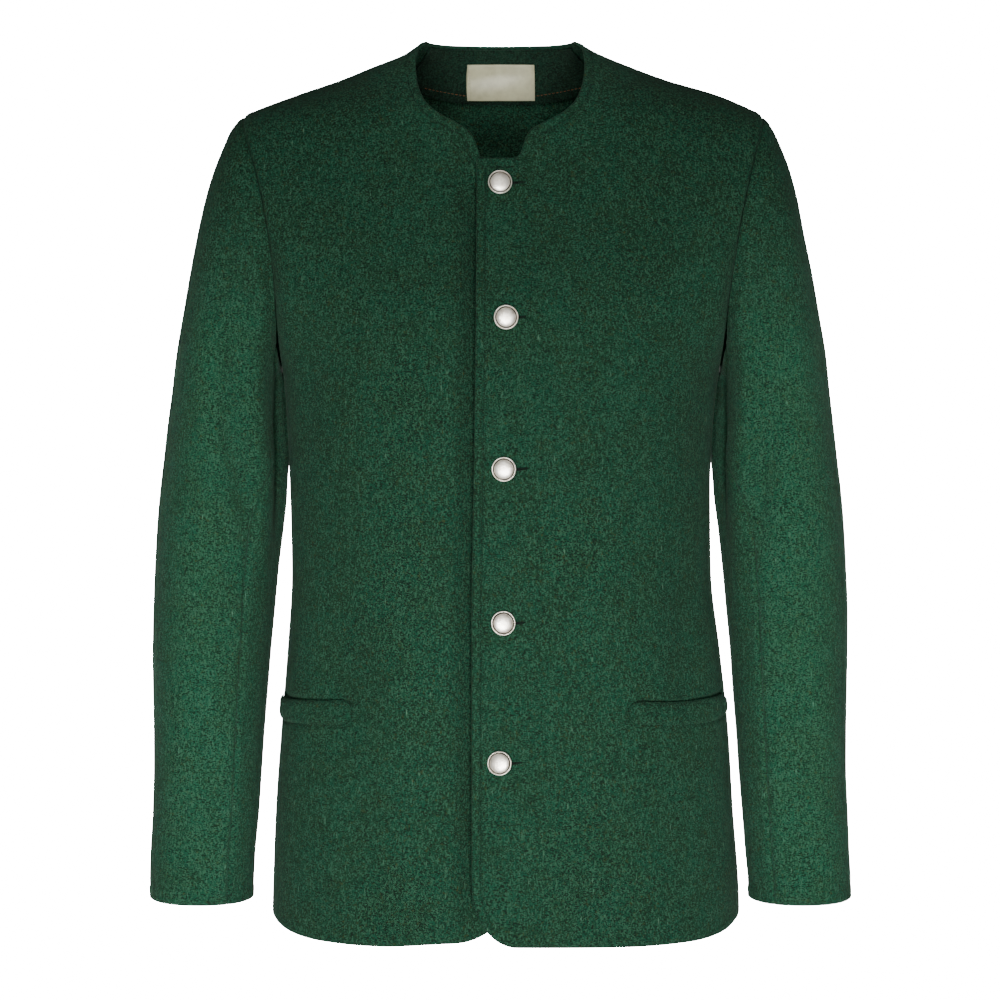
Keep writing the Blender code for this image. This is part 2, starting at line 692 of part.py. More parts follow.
def inside_sheet(degrees, z, depth):
    """Points on the back's inside, this deep below its outer surface, for angles past 180 too."""
    side_angle = np.where(degrees > 180, 360 - degrees, degrees)
    left = body_ring(side_angle, z, "left") - depth * body_normal(side_angle, z, "left")
    right = body_ring(side_angle, z, "right") - depth * body_normal(side_angle, z, "right")
    right = right * np.array([-1.0, 1.0, 1.0])
    return np.where(degrees[..., None] > 180, right, left)


def make_facing(wool):
    """The shaped strip that backs the neck edge inside the back, from shoulder to shoulder. Its
    top follows the neck edge, and its foot is given by the distance across, rising to the ends."""
    share = np.linspace(-1, 1, 25)
    away = np.abs(share)
    top_angle = 180 - (180 - FACING_END_ANGLE) * away
    foot_across = FACING_HALF_WIDE * away
    foot_z = RIM_Z - FACING_DEPTH + FACING_END_RISE * away ** 3
    foot_angle = 180 - body_angle(foot_across, foot_z, "left")
    up = np.linspace(0, 1, 6)[:, None]
    degrees = foot_angle + (top_angle - foot_angle) * up
    z = foot_z + (RIM_Z - FACING_EDGE - foot_z) * up
    degrees = np.where(share < 0, degrees, 360 - degrees)
    near = CLOTH + FACING_GAP
    wall("back_neck_facing", inside_sheet(degrees, z, near),
         inside_sheet(degrees, z, near + FACING_THICK), wool)


def make_label(satin):
    """A bare woven satin label, sewn to the facing at the middle of the neck."""
    near = CLOTH + FACING_GAP + FACING_THICK + LAID_GAP
    across = np.linspace(-LABEL_WIDE / 2, LABEL_WIDE / 2, 11)[None]
    z = np.linspace(LABEL_TOP_Z - LABEL_HIGH, LABEL_TOP_Z, 5)[:, None] + 0 * across
    degrees = 180 + body_angle(across, z, "left")
    wall("label", inside_sheet(degrees, z, near), inside_sheet(degrees, z, near + LABEL_THICK), satin)


def make_welts(wool):
    """Pocket welts: strips with rounded ends, laid on the fronts and made from their form."""
    for side, first, last in WELTS:
        share = np.linspace(0, 1, 7)[:, None]
        z = WELT_FOOT_Z + (WELT_TOP_Z - WELT_FOOT_Z) * share
        from_end = np.minimum(z - WELT_FOOT_Z, WELT_TOP_Z - z)
        inset = WELT_ROUND - np.sqrt(WELT_ROUND ** 2 - np.maximum(WELT_ROUND - from_end, 0) ** 2)
        inset = np.degrees(inset / ROUND_BODY)
        along = np.linspace(0, 1, 17)[None]
        degrees = first + inset + (last - first - 2 * inset) * along
        z = z + 0 * along
        under = body_ring(degrees, z, side)
        normal = body_normal(degrees, z, side)
        under = under + normal * (body_fold(under, side) + LAID_GAP)[..., None]
        crown = 1 - WELT_CROWN * (2 * share - 1) ** 2
        outer = under + normal * (WELT_THICK * crown)[..., None]
        wall("pocket_welt_" + side, mirrored(outer, side), mirrored(under, side), wool)


def button_profile():
    """Half a button, from its edge at the back over rim, groove and dome to the middle."""
    points = [(0.0, 0.0), (BUTTON_RADIUS - 1.2, 0.0), (BUTTON_RADIUS - 0.2, 0.7), (BUTTON_RADIUS, 1.5)]
    points.append((BUTTON_RADIUS - 0.5, BUTTON_RIM_HIGH - 0.2))
    points.append((BUTTON_RADIUS - 1.1, BUTTON_RIM_HIGH))
    points.append((BUTTON_GROOVE_RADIUS, BUTTON_GROOVE_HIGH))
    for degrees in (75, 55, 35, 18, 0):
        angle = math.radians(degrees)
        rise = BUTTON_DOME_HIGH - BUTTON_GROOVE_HIGH
        points.append((BUTTON_DOME_RADIUS * math.sin(angle), BUTTON_GROOVE_HIGH + rise * math.cos(angle)))
    return points


def make_buttons(silver):
    """Domed metal buttons, each a turned profile that sits on the over-front."""
    for number, (across, height) in enumerate(BUTTONS, start=1):
        degrees = body_angle(np.array([across]), np.array([height]), "left")
        seat = body_ring(degrees, np.array([height]), "left")
        normal = body_normal(degrees, np.array([height]), "left")[0]
        seat = seat[0] + normal * (body_fold(seat, "left")[0] + LAID_GAP)
        name = "button_" + str(number)
        mesh = bpy.data.meshes.new(name)
        profile = [(radius * MM, 0.0, high * MM) for radius, high in reversed(button_profile())]
        mesh.from_pydata(profile, [(i, i + 1) for i in range(len(profile) - 1)], [])
        mesh.materials.append(silver)
        piece = bpy.data.objects.new(name, mesh)
        PARTS.objects.link(piece)
        turned = piece.modifiers.new("turned", "SCREW")
        turned.angle = 2 * math.pi
        turned.steps = BUTTON_SIDES
        turned.render_steps = BUTTON_SIDES
        turned.use_merge_vertices = True
        turned.merge_threshold = 0.00001
        turned.use_smooth_shade = True
        direction = mathutils.Vector(normal)
        piece.rotation_mode = "QUATERNION"
        piece.rotation_quaternion = direction.to_track_quat("Z", "Y")
        piece.location = (seat * MM).tolist()


for old in list(bpy.data.objects):
    bpy.data.objects.remove(old, do_unlink=True)
PARTS = bpy.data.collections.new("cardigan")
bpy.context.scene.collection.children.link(PARTS)
boiled_wool = material("boiled_wool", WOOL, 0.95)
make_back(boiled_wool)
make_fronts(boiled_wool)
make_sleeves(boiled_wool)
make_welts(material("welt_wool", WELT_WOOL, 0.95))
make_facing(material("facing_wool", FACING_WOOL, 0.9))
make_label(material("label_satin", SATIN, 0.45))
make_buttons(material("antique_silver", SILVER, 0.35, 1.0))
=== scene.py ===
"""The looks of a man's boiled wool cardigan jacket, filled out as when it is worn.

Every cloth piece is a thin closed shell on the form of its solid, finer and with its creases,
topstitching and turned edges. Sizes of the cloth are in millimetres and become metres where a
mesh is made. X runs to the wearer's left, -Y is the front, Z is up, and the origin lies between
the two neck points of the shoulder seams. One side is worked out at positive X and then mirrored,
so "across" means the distance from the middle towards that side.
"""
import math

import bpy
import numpy as np
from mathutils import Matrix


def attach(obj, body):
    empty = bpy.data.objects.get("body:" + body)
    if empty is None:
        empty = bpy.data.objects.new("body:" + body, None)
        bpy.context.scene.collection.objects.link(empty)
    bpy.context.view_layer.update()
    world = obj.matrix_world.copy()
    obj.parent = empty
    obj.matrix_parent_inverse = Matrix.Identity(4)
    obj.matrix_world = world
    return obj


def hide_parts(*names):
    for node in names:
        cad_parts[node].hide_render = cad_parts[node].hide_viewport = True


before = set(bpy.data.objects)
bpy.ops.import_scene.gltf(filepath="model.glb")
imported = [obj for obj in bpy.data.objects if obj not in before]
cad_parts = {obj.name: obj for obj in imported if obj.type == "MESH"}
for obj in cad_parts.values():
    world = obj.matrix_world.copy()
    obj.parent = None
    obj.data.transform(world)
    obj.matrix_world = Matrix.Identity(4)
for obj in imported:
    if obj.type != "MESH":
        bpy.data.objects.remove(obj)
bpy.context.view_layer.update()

# Camera. It looks level along +Y at the middle of the garment's height, as the photo was taken,
# from far enough away that the sides hardly spread.
CAMERA_Y = -3.4
CAMERA_Z = -0.379
LENS_MM = 144.0


def put(name, data):
    """An object of this mesh, light or camera, in the scene."""
    made = bpy.data.objects.new(name, data)
    bpy.context.scene.collection.objects.link(made)
    return made


camera_data = bpy.data.cameras.new("camera")
camera_data.lens = LENS_MM
camera_data.sensor_width = 36.0
camera = put("camera", camera_data)
camera.location = (0.0, CAMERA_Y, CAMERA_Z)
camera.rotation_euler = (math.radians(90), 0.0, 0.0)
bpy.context.scene.camera = camera


# Studio. A pale floor lies as far below the neck as on a standing wearer, and soft boxes light
# the front from both sides of the camera, with weak pale light from all round.
FLOOR_Z = -1.45
FLOOR_RADIUS = 4.0
FLOOR_SIDES = 64
BACKGROUND = 30.0
ALL_ROUND = 0.26
SOFT_BOXES = (
    # name, place, aimed at, size across and up, beam in degrees, watts
    ("front_box", (0.0, -3.7, -0.8), (0.0, 0.0, -0.5), (1.6, 1.2), 180, 5.7),
    ("high_box", (-0.3, -2.9, 1.7), (0.0, 0.0, -0.2), (1.6, 0.8), 180, 9.4),
    ("left_strip", (0.32, -2.3, -0.95), (0.2, 0.0, -0.56), (0.3, 0.9), 40, 4.3),
    ("right_strip", (-0.36, -2.3, -0.95), (-0.2, 0.0, -0.56), (0.3, 0.9), 40, 4.5),
    ("left_sleeve_strip", (0.27, -2.3, -0.45), (0.27, 0.0, -0.46), (0.04, 0.6), 7, 0.34),
    ("right_sleeve_strip", (-0.27, -2.3, -0.45), (-0.27, 0.0, -0.46), (0.04, 0.6), 7, 0.34),
    ("left_wall", (2.6, -1.7, -0.3), (0.0, 0.0, -0.45), (1.4, 2.2), 180, 3.0),
    ("right_wall", (-2.6, -1.7, -0.3), (0.0, 0.0, -0.45), (1.4, 2.2), 180, 1.8),
    ("neck_spot", (0.0, -1.1, 0.42), (0.0, 0.09, -0.05), (0.1, 0.06), 12, 0.05),
    ("rear_box", (0.0, 3.8, -0.2), (0.0, 0.0, -0.4), (0.8, 1.6), 180, 210.0),
)


def linear(hex_colour):
    """A colour given in sRGB hex, as the linear numbers that a shader socket takes."""
    values = [int(hex_colour[i:i + 2], 16) / 255 for i in (0, 2, 4)]
    return tuple(v / 12.92 if v <= 0.04045 else ((v + 0.055) / 1.055) ** 2.4 for v in values) + (1.0,)


def add_node(tree, kind, settings=None, links=None, values=None):
    """Adds a node, sets its properties and its input values, and links inputs to other outputs."""
    node = tree.nodes.new(kind)
    for name, value in (settings or {}).items():
        setattr(node, name, value)
    for name, value in (values or {}).items():
        node.inputs[name].default_value = value
    for name, output in (links or {}).items():
        tree.links.new(output, node.inputs[name])
    return node


def new_material(name, roughness, metallic=0.0):
    """A material with a Principled shader, and the tree and shader to build on."""
    made = bpy.data.materials.new(name)
    made.use_nodes = True
    shader = made.node_tree.nodes["Principled BSDF"]
    shader.inputs["Roughness"].default_value = roughness
    shader.inputs["Metallic"].default_value = metallic
    return made, made.node_tree, shader


def mix_colour(tree, factor, a, b):
    """Blends two colours, each a hex value or an output, by the factor output."""
    node = add_node(tree, "ShaderNodeMix", {"data_type": "RGBA"}, {"Factor": factor})
    for socket, colour in (("A", a), ("B", b)):
        if isinstance(colour, str):
            node.inputs[socket].default_value = linear(colour)
        else:
            tree.links.new(colour, node.inputs[socket])
    return node.outputs["Result"]


def full_turn(count):
    """Angles of this many even places round a circle."""
    return np.linspace(0, 2 * np.pi, count + 1)[:-1]


def light_studio():
    world = bpy.data.worlds.new("studio")
    world.use_nodes = True
    tree = world.node_tree
    tree.nodes.clear()
    path = add_node(tree, "ShaderNodeLightPath")
    strength = add_node(tree, "ShaderNodeMapRange", links={"Value": path.outputs["Is Camera Ray"]},
                        values={"To Min": ALL_ROUND, "To Max": BACKGROUND})
    sky = add_node(tree, "ShaderNodeBackground", links={"Strength": strength.outputs["Result"]},
                   values={"Color": linear("ffffff")})
    add_node(tree, "ShaderNodeOutputWorld", links={"Surface": sky.outputs[0]})
    bpy.context.scene.world = world
    for name, place, target, size, beam, watts in SOFT_BOXES:
        data = bpy.data.lights.new(name, "AREA")
        data.shape = "RECTANGLE"
        data.size, data.size_y = size
        data.spread = math.radians(beam)
        data.energy = watts
        box = put(name, data)
        box.location = place
        aim = np.array(target) - np.array(place)
        box.rotation_euler = (math.atan2(math.hypot(aim[0], aim[1]), -aim[2]), 0.0,
                              math.atan2(aim[1], aim[0]) - math.pi / 2)


def lay_floor():
    """A round floor, as one flat face with many sides."""
    turns = full_turn(FLOOR_SIDES)
    ring = np.stack([np.cos(turns), np.sin(turns), 0 * turns], axis=-1) * FLOOR_RADIUS
    ring[:, 2] = FLOOR_Z
    mesh = bpy.data.meshes.new("floor")
    mesh.from_pydata(ring.tolist(), [], [list(range(FLOOR_SIDES))])
    floor = put("floor", mesh)
    paint, tree, shader = new_material("matt_white_floor_paint", 0.9)
    fine = add_node(tree, "ShaderNodeTexNoise", values={"Scale": 3.0, "Detail": 4.0})
    tree.links.new(mix_colour(tree, fine.outputs["Fac"], "e9e8e5", "f3f2ef"), shader.inputs["Base Color"])
    mesh.materials.append(paint)


light_studio()
lay_floor()


# Boiled wool. A knit that was fulled until its loops closed to a felt about 2 mm thick, heathered
# from greens, teal, olive and near-black wool. It is matt, with a low fuzz and a faint knit grain.
# The flecks of single fibres are finer than a pixel, so they are drawn as coarse as they can show.
# CLOTH is its thickness, and the other sizes are those of its flecks, hairs, clumps and clouds.
CLOTH = 2.2
FIBRE_MM = 1.05
SHADE_MM = 0.95
HAIR_MM = 2.2
CLUMP_MM = 5.0
CLOUD_MM = 24.0
OLIVE_MM = 2.6
LOFT_MM = 9.0
MM = 0.001


def per_metre(size_mm):
    """A noise texture's scale for features of this size, on coordinates in metres."""
    return 1.0 / (size_mm * MM)


def noise_between(tree, coordinates, size_mm, low, high, detail=2.0, seed=0.0):
    """A 4-D noise of this feature size, stretched so that low becomes 0 and high becomes 1."""
    noise = add_node(tree, "ShaderNodeTexNoise", {"noise_dimensions": "4D"}, {"Vector": coordinates},
                     {"Scale": per_metre(size_mm), "Detail": detail, "W": seed, "Roughness": 0.6})
    spread = add_node(tree, "ShaderNodeMapRange", {"interpolation_type": "SMOOTHSTEP"},
                      {"Value": noise.outputs["Fac"]}, {"From Min": low, "From Max": high})
    return spread.outputs["Result"]


def boiled_wool(name, colours):
    """Heathered felt. "colours" holds the dark, body, teal, olive, light and hair hex values. The
    fibres lie mostly up and down, as the knit's loops did, and their shaded gaps lie level."""
    made, tree, shader = new_material(name, 0.95)
    place = add_node(tree, "ShaderNodeTexCoord").outputs["Object"]
    dark, body, teal, olive, light, hair = colours
    stretches = (1.0, 1.0, 0.45), (0.6, 0.6, 1.1), (1.4, 1.4, 0.3)
    upright, level, drawn_out = (
        add_node(tree, "ShaderNodeMapping", links={"Vector": place}, values={"Scale": stretch})
        .outputs["Vector"] for stretch in stretches)
    layers = (
        # colour, coordinates, size of its spots, from where in the noise to where, detail
        (teal, place, CLOUD_MM, 0.38, 0.62, 2.0),
        (olive, place, OLIVE_MM, 0.50, 0.82, 2.0),
        (dark, upright, CLUMP_MM, 0.40, 1.10, 2.0),
        (light, upright, FIBRE_MM, 0.42, 0.64, 0.0),
        (dark, level, SHADE_MM, 0.45, 0.68, 0.0),
        (hair, drawn_out, HAIR_MM, 0.70, 1.05, 0.0))
    colour = body
    for seed, (over, where, size_mm, low, high, detail) in enumerate(layers, 1):
        spots = noise_between(tree, where, size_mm, low, high, detail, seed)
        colour = mix_colour(tree, spots, colour, over)
    tree.links.new(colour, shader.inputs["Base Color"])
    felt = add_node(tree, "ShaderNodeTexNoise", links={"Vector": upright},
                    values={"Scale": per_metre(FIBRE_MM), "Detail": 3.0, "Roughness": 0.7})
    loft = add_node(tree, "ShaderNodeTexNoise", links={"Vector": place},
                    values={"Scale": per_metre(LOFT_MM), "Detail": 2.0})
    height = add_node(tree, "ShaderNodeMath", {"operation": "MULTIPLY_ADD"},
                      {0: loft.outputs["Fac"], 2: felt.outputs["Fac"]}, {1: 1.6})
    bump = add_node(tree, "ShaderNodeBump", links={"Height": height.outputs[0]},
                    values={"Strength": 0.4, "Distance": 0.0006})
    tree.links.new(bump.outputs[0], shader.inputs["Normal"])
    shader.inputs["Specular IOR Level"].default_value = 0.15
    shader.inputs["Sheen Weight"].default_value = 0.06
    shader.inputs["Sheen Roughness"].default_value = 0.6
    shader.inputs["Sheen Tint"].default_value = linear("6f9a80")
    return made


WOOL = boiled_wool("boiled_wool", ("04150b", "0a2a1a", "042f20", "28290e", "1c3b2a", "3b5a46"))


# Form of the body. Rings by height carry the back and both fronts, a little squarer than an
# ellipse. The panels are cut from it along the side seams, shoulder seams and armholes. Sewn
# pieces stay SEAM_GAP apart, laid ones LAID_GAP, and the two fronts LAP_GAP.
SEAM_GAP = 0.3
LAID_GAP = 0.5
LAP_GAP = 0.5
LAP_FLAT = 7.0
LAP_SLOPE = 14.0
RIM_Z = 13.0
TIP_Z = -52.0
UNDERARM_Z = -274.0
NOTCH_Z = -94.8
SEAM_ANGLE = 94.0
SQUARENESS = 0.05
BACK_ARMHOLE_WIDER = 3.0


def columns(names, rows):
    """A table of named columns, from a text of names and rows of numbers."""
    return dict(zip(names.split(), np.array(rows, float).T))


BODY = columns("height half_right half_left middle front back", (
    (13, 64, 64, 12, 34, 50),
    (5, 74, 76, 12, 38, 53),
    (0, 82, 86, 11, 42, 55),
    (-10, 107, 110, 10, 46, 60),
    (-22, 136, 142, 8, 51, 66),
    (-36, 176, 188, 6, 60, 74),
    (-52, 216, 222, 5, 70, 82),
    (-62, 231, 234, 5, 74, 87),
    (-75, 241, 243, 5, 78, 92),
    (-89, 246, 248, 5, 81, 96),
    (-129, 247, 249, 5, 92, 106),
    (-179, 236, 238, 5, 107, 111),
    (-229, 210, 211, 5, 120, 111),
    (-274, 184, 185.5, 5, 121, 107),
    (-370, 178.5, 178.5, 5, 117, 97),
    (-438, 177, 179.5, 5, 116, 96),
    (-506, 181, 187, 5, 117, 100),
    (-575, 186, 194, 5, 119, 106),
    (-642, 190.5, 198, 5, 121, 111),
    (-711, 193, 203, 5, 123, 115),
    (-750, 194, 204, 5, 123, 116)))

ARMHOLE = columns("height across_right across_left", (
    (-52, 216, 222),
    (-88, 208, 213.5),
    (-122, 200.5, 207),
    (-150, 195.5, 201.5),
    (-179, 191.5, 197),
    (-214, 188.5, 192),
    (-250, 186, 188),
    (-274, 184, 185.5)))

HEM = columns("angle right left", (
    (-10, -742.5, -746),
    (10, -743, -746.5),
    (30, -746.5, -747),
    (48, -744, -745),
    (62, -739, -740),
    (76, -732, -732),
    (94, -727, -727),
    (130, -731, -731),
    (180, -735, -735)))

# The soft trough in which the under-front lies beside the over-front's edge: its depth by height,
# its half width, and how far in under that edge its middle lies.
LAP_TROUGH = columns("height depth", (
    (-95, 3.0),
    (-125, 11.0),
    (-165, 15.5),
    (-205, 16.5),
    (-260, 16.0),
    (-330, 15.0),
    (-480, 15.5),
    (-600, 15.0),
    (-700, 13.0),
    (-750, 5.0)))
LAP_TROUGH_WIDE = 13.0
LAP_TROUGH_IN = 4.0

# Creases of the body: face, side, distance across, height, half size across and up, how much the
# crease leans (across for each mm up), and rise, negative for a trough.
BODY_CREASES = (
    ("front", "right", 136, -520, 32, 66, 0.06, -8.0),
    ("front", "right", 84, -520, 20, 70, 0.0, 2.2),
    ("front", "right", 56, -400, 18, 190, 0.0, 1.6),
    ("front", "left", 158, -492, 20, 62, -0.05, -6.0),
    ("front", "left", 92, -142, 44, 22, 0.2, -2.6),
    ("front", "left", 40, -240, 12, 70, -0.15, -1.3),
    ("front", "right", 120, -190, 18, 60, -0.12, -2.6),
    ("front", "right", 160, -300, 10, 70, -0.08, -2.0),
    ("front", "left", 166, -318, 9, 60, 0.08, -1.8),
    ("front", "right", 100, -330, 34, 120, 0.0, 2.2),
    ("front", "left", 110, -340, 36, 110, 0.0, 2.0),
    ("front", "right", 103, -602, 1.1, 52, 0.0, -0.8),
    ("front", "left", 101, -600, 1.1, 50, 0.0, -0.8),
    ("front", "right", 112, -680, 20, 60, 0.1, -1.6),
    ("front", "left", 84, -684, 26, 52, -0.1, -1.5),
    ("back", "right", 70, -380, 60, 22, 0.0, -4.0),
    ("back", "left", 62, -420, 70, 20, 0.0, -3.4),
    ("back", "right", 84, -448, 44, 15, 0.0, -2.4),
    ("back", "left", 120, -200, 26, 70, 0.3, -3.0),
    ("back", "right", 126, -215, 24, 70, 0.25, -3.2),
    ("back", "right", 58, -600, 24, 90, 0.1, 2.0),
    ("back", "left", 72, -620, 22, 80, -0.1, 2.4),
)


def smooth(at, xs, ys):
    """A curve through the points (xs, ys) that never overshoots them: cubic pieces whose slope at
    each point is the harmonic mean of the straight slopes on both sides, or 0 at a turning."""
    order = np.argsort(xs)
    xs, ys = xs[order], ys[order]
    step = np.diff(ys) / np.diff(xs)
    same = step[1:] * step[:-1] > 0
    total = np.where(same, step[1:] + step[:-1], 1.0)
    slope = np.concatenate(([step[0]], np.where(same, 2 * step[1:] * step[:-1] / total, 0), [step[-1]]))
    at = np.clip(at, xs[0], xs[-1])
    i = np.clip(np.searchsorted(xs, at, side="right") - 1, 0, len(xs) - 2)
    wide = xs[i + 1] - xs[i]
    q = (at - xs[i]) / wide
    start = ys[i] * (1 + 2 * q) * (1 - q) ** 2 + slope[i] * wide * q * (1 - q) ** 2
    end = ys[i + 1] * q * q * (3 - 2 * q) - slope[i + 1] * wide * q * q * (1 - q)
    return start + end


def look(table, name, at):
    """The smooth curve of one column, at a place given in the table's first column."""
    return smooth(at, next(iter(table.values())), table[name])


def ease(q):
    """0 below 0, 1 above 1, and a smooth S between."""
    q = np.clip(q, 0, 1)
    return q * q * (3 - 2 * q)


def unit(v):
    return v / np.maximum(np.linalg.norm(v, axis=-1, keepdims=True), 1e-9)


def bell(distance):
    """A soft bump: 1 at distance 0, close to 0 at distance 2."""
    return np.exp(-distance ** 2)


def fuller(angle):
    """How much fuller than an ellipse a ring is at this angle."""
    return 1 + SQUARENESS * np.sin(2 * angle) ** 2


def body_ring(degrees, z, side):
    """The body's form: across = half width x sin, y = middle - depth x cos, both times fuller."""
    angle = np.radians(degrees)
    half = look(BODY, "half_" + side, z)
    front = look(BODY, "front", z)
    back = look(BODY, "back", z)
    depth = np.where(np.cos(angle) > 0, front, back)
    x = half * np.sin(angle) * fuller(angle)
    y = look(BODY, "middle", z) - depth * np.cos(angle) * fuller(angle)
    return np.stack([x, y, z + 0 * x], axis=-1)


def body_normal(degrees, z, side):
    """Outward normal of the body's form, from small steps round the ring and up."""
    turn = 0.5
    rise = 1.0
    round_step = body_ring(degrees + turn, z, side) - body_ring(degrees - turn, z, side)
    up_step = body_ring(degrees, z + rise, side) - body_ring(degrees, z - rise, side)
    return unit(np.cross(round_step, up_step))


def body_angle(across, z, side):
    """The angle on the front of the ring at this height whose distance across is given."""
    table = np.linspace(-90, 90, 3601)
    reach = np.sin(np.radians(table)) * fuller(np.radians(table))
    share = across / look(BODY, "half_" + side, z)
    return np.interp(np.clip(share, -1, 1), reach, table)


def body_crease(points, side):
    """Sum of the creases on one side: each is a bell over the distances across and up, leaning."""
    rise = np.zeros(points.shape[:-1])
    for face, crease_side, where, height, half_wide, half_high, lean, high in BODY_CREASES:
        if crease_side != side:
            continue
        on_face = ease(0.5 + (-1 if face == "front" else 1) * (points[..., 1] - 5) / 30)
        up = points[..., 2] - height
        across = points[..., 0] - where - lean * up
        rise += high * bell(across / half_wide) * bell(up / half_high) * on_face
    return rise


def armhole(s, side):
    """The armhole's front and back runs as (angle, height), at shares s from the underarm up to
    the shoulder tip. The height goes by a cosine, so that even shares lie evenly round it."""
    z = UNDERARM_Z + (TIP_Z - UNDERARM_Z) * (1 - np.cos(np.pi * s)) / 2
    across = look(ARMHOLE, "across_" + side, z)
    lean = (SEAM_ANGLE - 90) * np.cos(np.pi * s) ** 4
    front = body_angle(across, z, side) + lean
    back = 180 - body_angle(across + BACK_ARMHOLE_WIDER * np.sin(np.pi * s), z, side) + lean
    ends = (s <= 0) | (s >= 1)
    return np.where(ends, SEAM_ANGLE, front), np.where(ends, SEAM_ANGLE, back), z


# Panels of the body. A row number runs from the hem (0) over the underarm to the shoulder, and a
# column number from the free edge (or the middle of the back) to the side seam, both in the steps
# that the solids are cut in. Fractions of a step give the finer cloth.
LOW_STEPS = 13
ARMHOLE_STEPS = 14
NOTCH_STEPS = 3
CLOSE_STEPS = 6
CLOSE_SHARE = 0.6
NECK_STEPS = 9
SHOULDER_STEPS = 7
BACK_NECK_STEPS = 7
BLEND_MM = 7.0
ROUND_MM = 1.3

# Corners of the fronts: how far each reaches along the hem and up the edge.
CORNER = {"over": (37.0, 50.0), "under": (54.0, 70.0)}

# Free edges of the fronts, by how far each passes the middle.
EDGE = columns("height over under", (
    (-94, 19.0, 18.0),
    (-230, 19.5, 18.0),
    (-340, 20.9, 18.0),
    (-480, 23.0, 18.0),
    (-640, 23.0, 18.0),
    (-750, 22.6, 18.0)))

# Neckline, from the foot of the notch up to the neck point of the shoulder seam.
NECKLINE = columns("across height", (
    (13.0, -94.8),
    (17.2, -91.0),
    (19.3, -85.0),
    (22.0, -77.0),
    (26.0, -70.5),
    (38.7, -63.3),
    (54.2, -54.0),
    (65.0, -41.5),
    (70.3, -25.6),
    (72.0, -9.0),
    (70.0, 4.0),
    (64.0, 13.0)))

# Finer steps: from row to row (or column to column), how many parts each step is divided into.
ROW_PARTS = (
    (0, 1, 16), (1, 2, 10), (2, 5, 9), (5, 7, 26), (7, 13, 9), (13, 25, 4), (25, 26, 8), (26, 27, 20))
FRONT_COLUMN_PARTS = ((0, 1, 16), (1, 2, 8), (2, 6, 5), (6, 8, 6), (8, 10, 18), (10, 18, 6), (18, 19, 12))
BACK_COLUMN_PARTS = ((0, 13, 5), (13, 14, 12))


def divided(parts):
    """Numbers from the first step to the last, each step divided into as many parts as said."""
    runs = [np.linspace(first, last, (last - first) * count + 1)[:-1] for first, last, count in parts]
    return np.concatenate(runs + [[parts[-1][1]]])


def low_share(row):
    """How far up from the hem to the underarm a low row lies: closer rows at the hem."""
    return np.interp(row, [0, 1, 2, LOW_STEPS], [0, 0.045, 0.095, 1])


def seam_line(row, side, face):
    """The side seam and then the armhole, as (angle, height) at each row."""
    foot = look(HEM, side, SEAM_ANGLE)
    low_z = foot + (UNDERARM_Z - foot) * low_share(row)
    front, back, loop_z = armhole(np.clip((row - LOW_STEPS) / ARMHOLE_STEPS, 0, 1), side)
    low = row <= LOW_STEPS
    angle = np.where(low, SEAM_ANGLE, front if face == "front" else back)
    return np.stack([angle, np.where(low, low_z, loop_z)], axis=-1)


def shoulder_line(share):
    """The shoulder seam from the neck point (0) to the tip (1), as (angle, height)."""
    return np.stack([SEAM_ANGLE + 0 * share, RIM_Z + (TIP_Z - RIM_Z) * share], axis=-1)


def neck_line(column, side, edge_across):
    """A front's notch and neckline, as (angle, height), by column up to the neck point."""
    across, height = NECKLINE["across"], NECKLINE["height"]
    length = np.concatenate(([0], np.cumsum(np.hypot(np.diff(across), np.diff(height)))))
    at = np.clip((column - NOTCH_STEPS) / NECK_STEPS, 0, 1) * length[-1]
    flat = np.clip(column / NOTCH_STEPS, 0, 1)
    on_curve = column > NOTCH_STEPS
    x = np.where(on_curve, smooth(at, length, across), edge_across + (across[0] - edge_across) * flat)
    z = np.where(on_curve, smooth(at, length, height), NOTCH_Z)
    last_step = np.clip(column - NOTCH_STEPS - NECK_STEPS + 1, 0, 1)
    return np.stack([body_angle(x, z, side) + (SEAM_ANGLE - 90) * last_step, z], axis=-1)


def patch(row, u, left, right, foot, top):
    """Grid between four lines of (angle, height): straight across from left to right, with the
    foot's own shape fading out over the lowest rows and the top's over the armhole's rows."""
    row = row[:, None, None]
    low = np.clip(1 - row / 4, 0, 1) ** 2
    high = np.clip((row - LOW_STEPS) / ARMHOLE_STEPS, 0, 1) ** 2
    seam = np.stack([SEAM_ANGLE + 0 * right[:, 1], right[:, 1]], axis=-1)
    u = u[None, :, None]
    grid = (1 - u) * left[:, None] + u * seam[:, None] + u * ease(u / 0.3) * (right - seam)[:, None]
    grid = grid + low * (foot[None] - ((1 - u) * foot[0] + u * foot[-1]))
    return grid + high * (top[None] - ((1 - u) * top[0] + u * top[-1]))


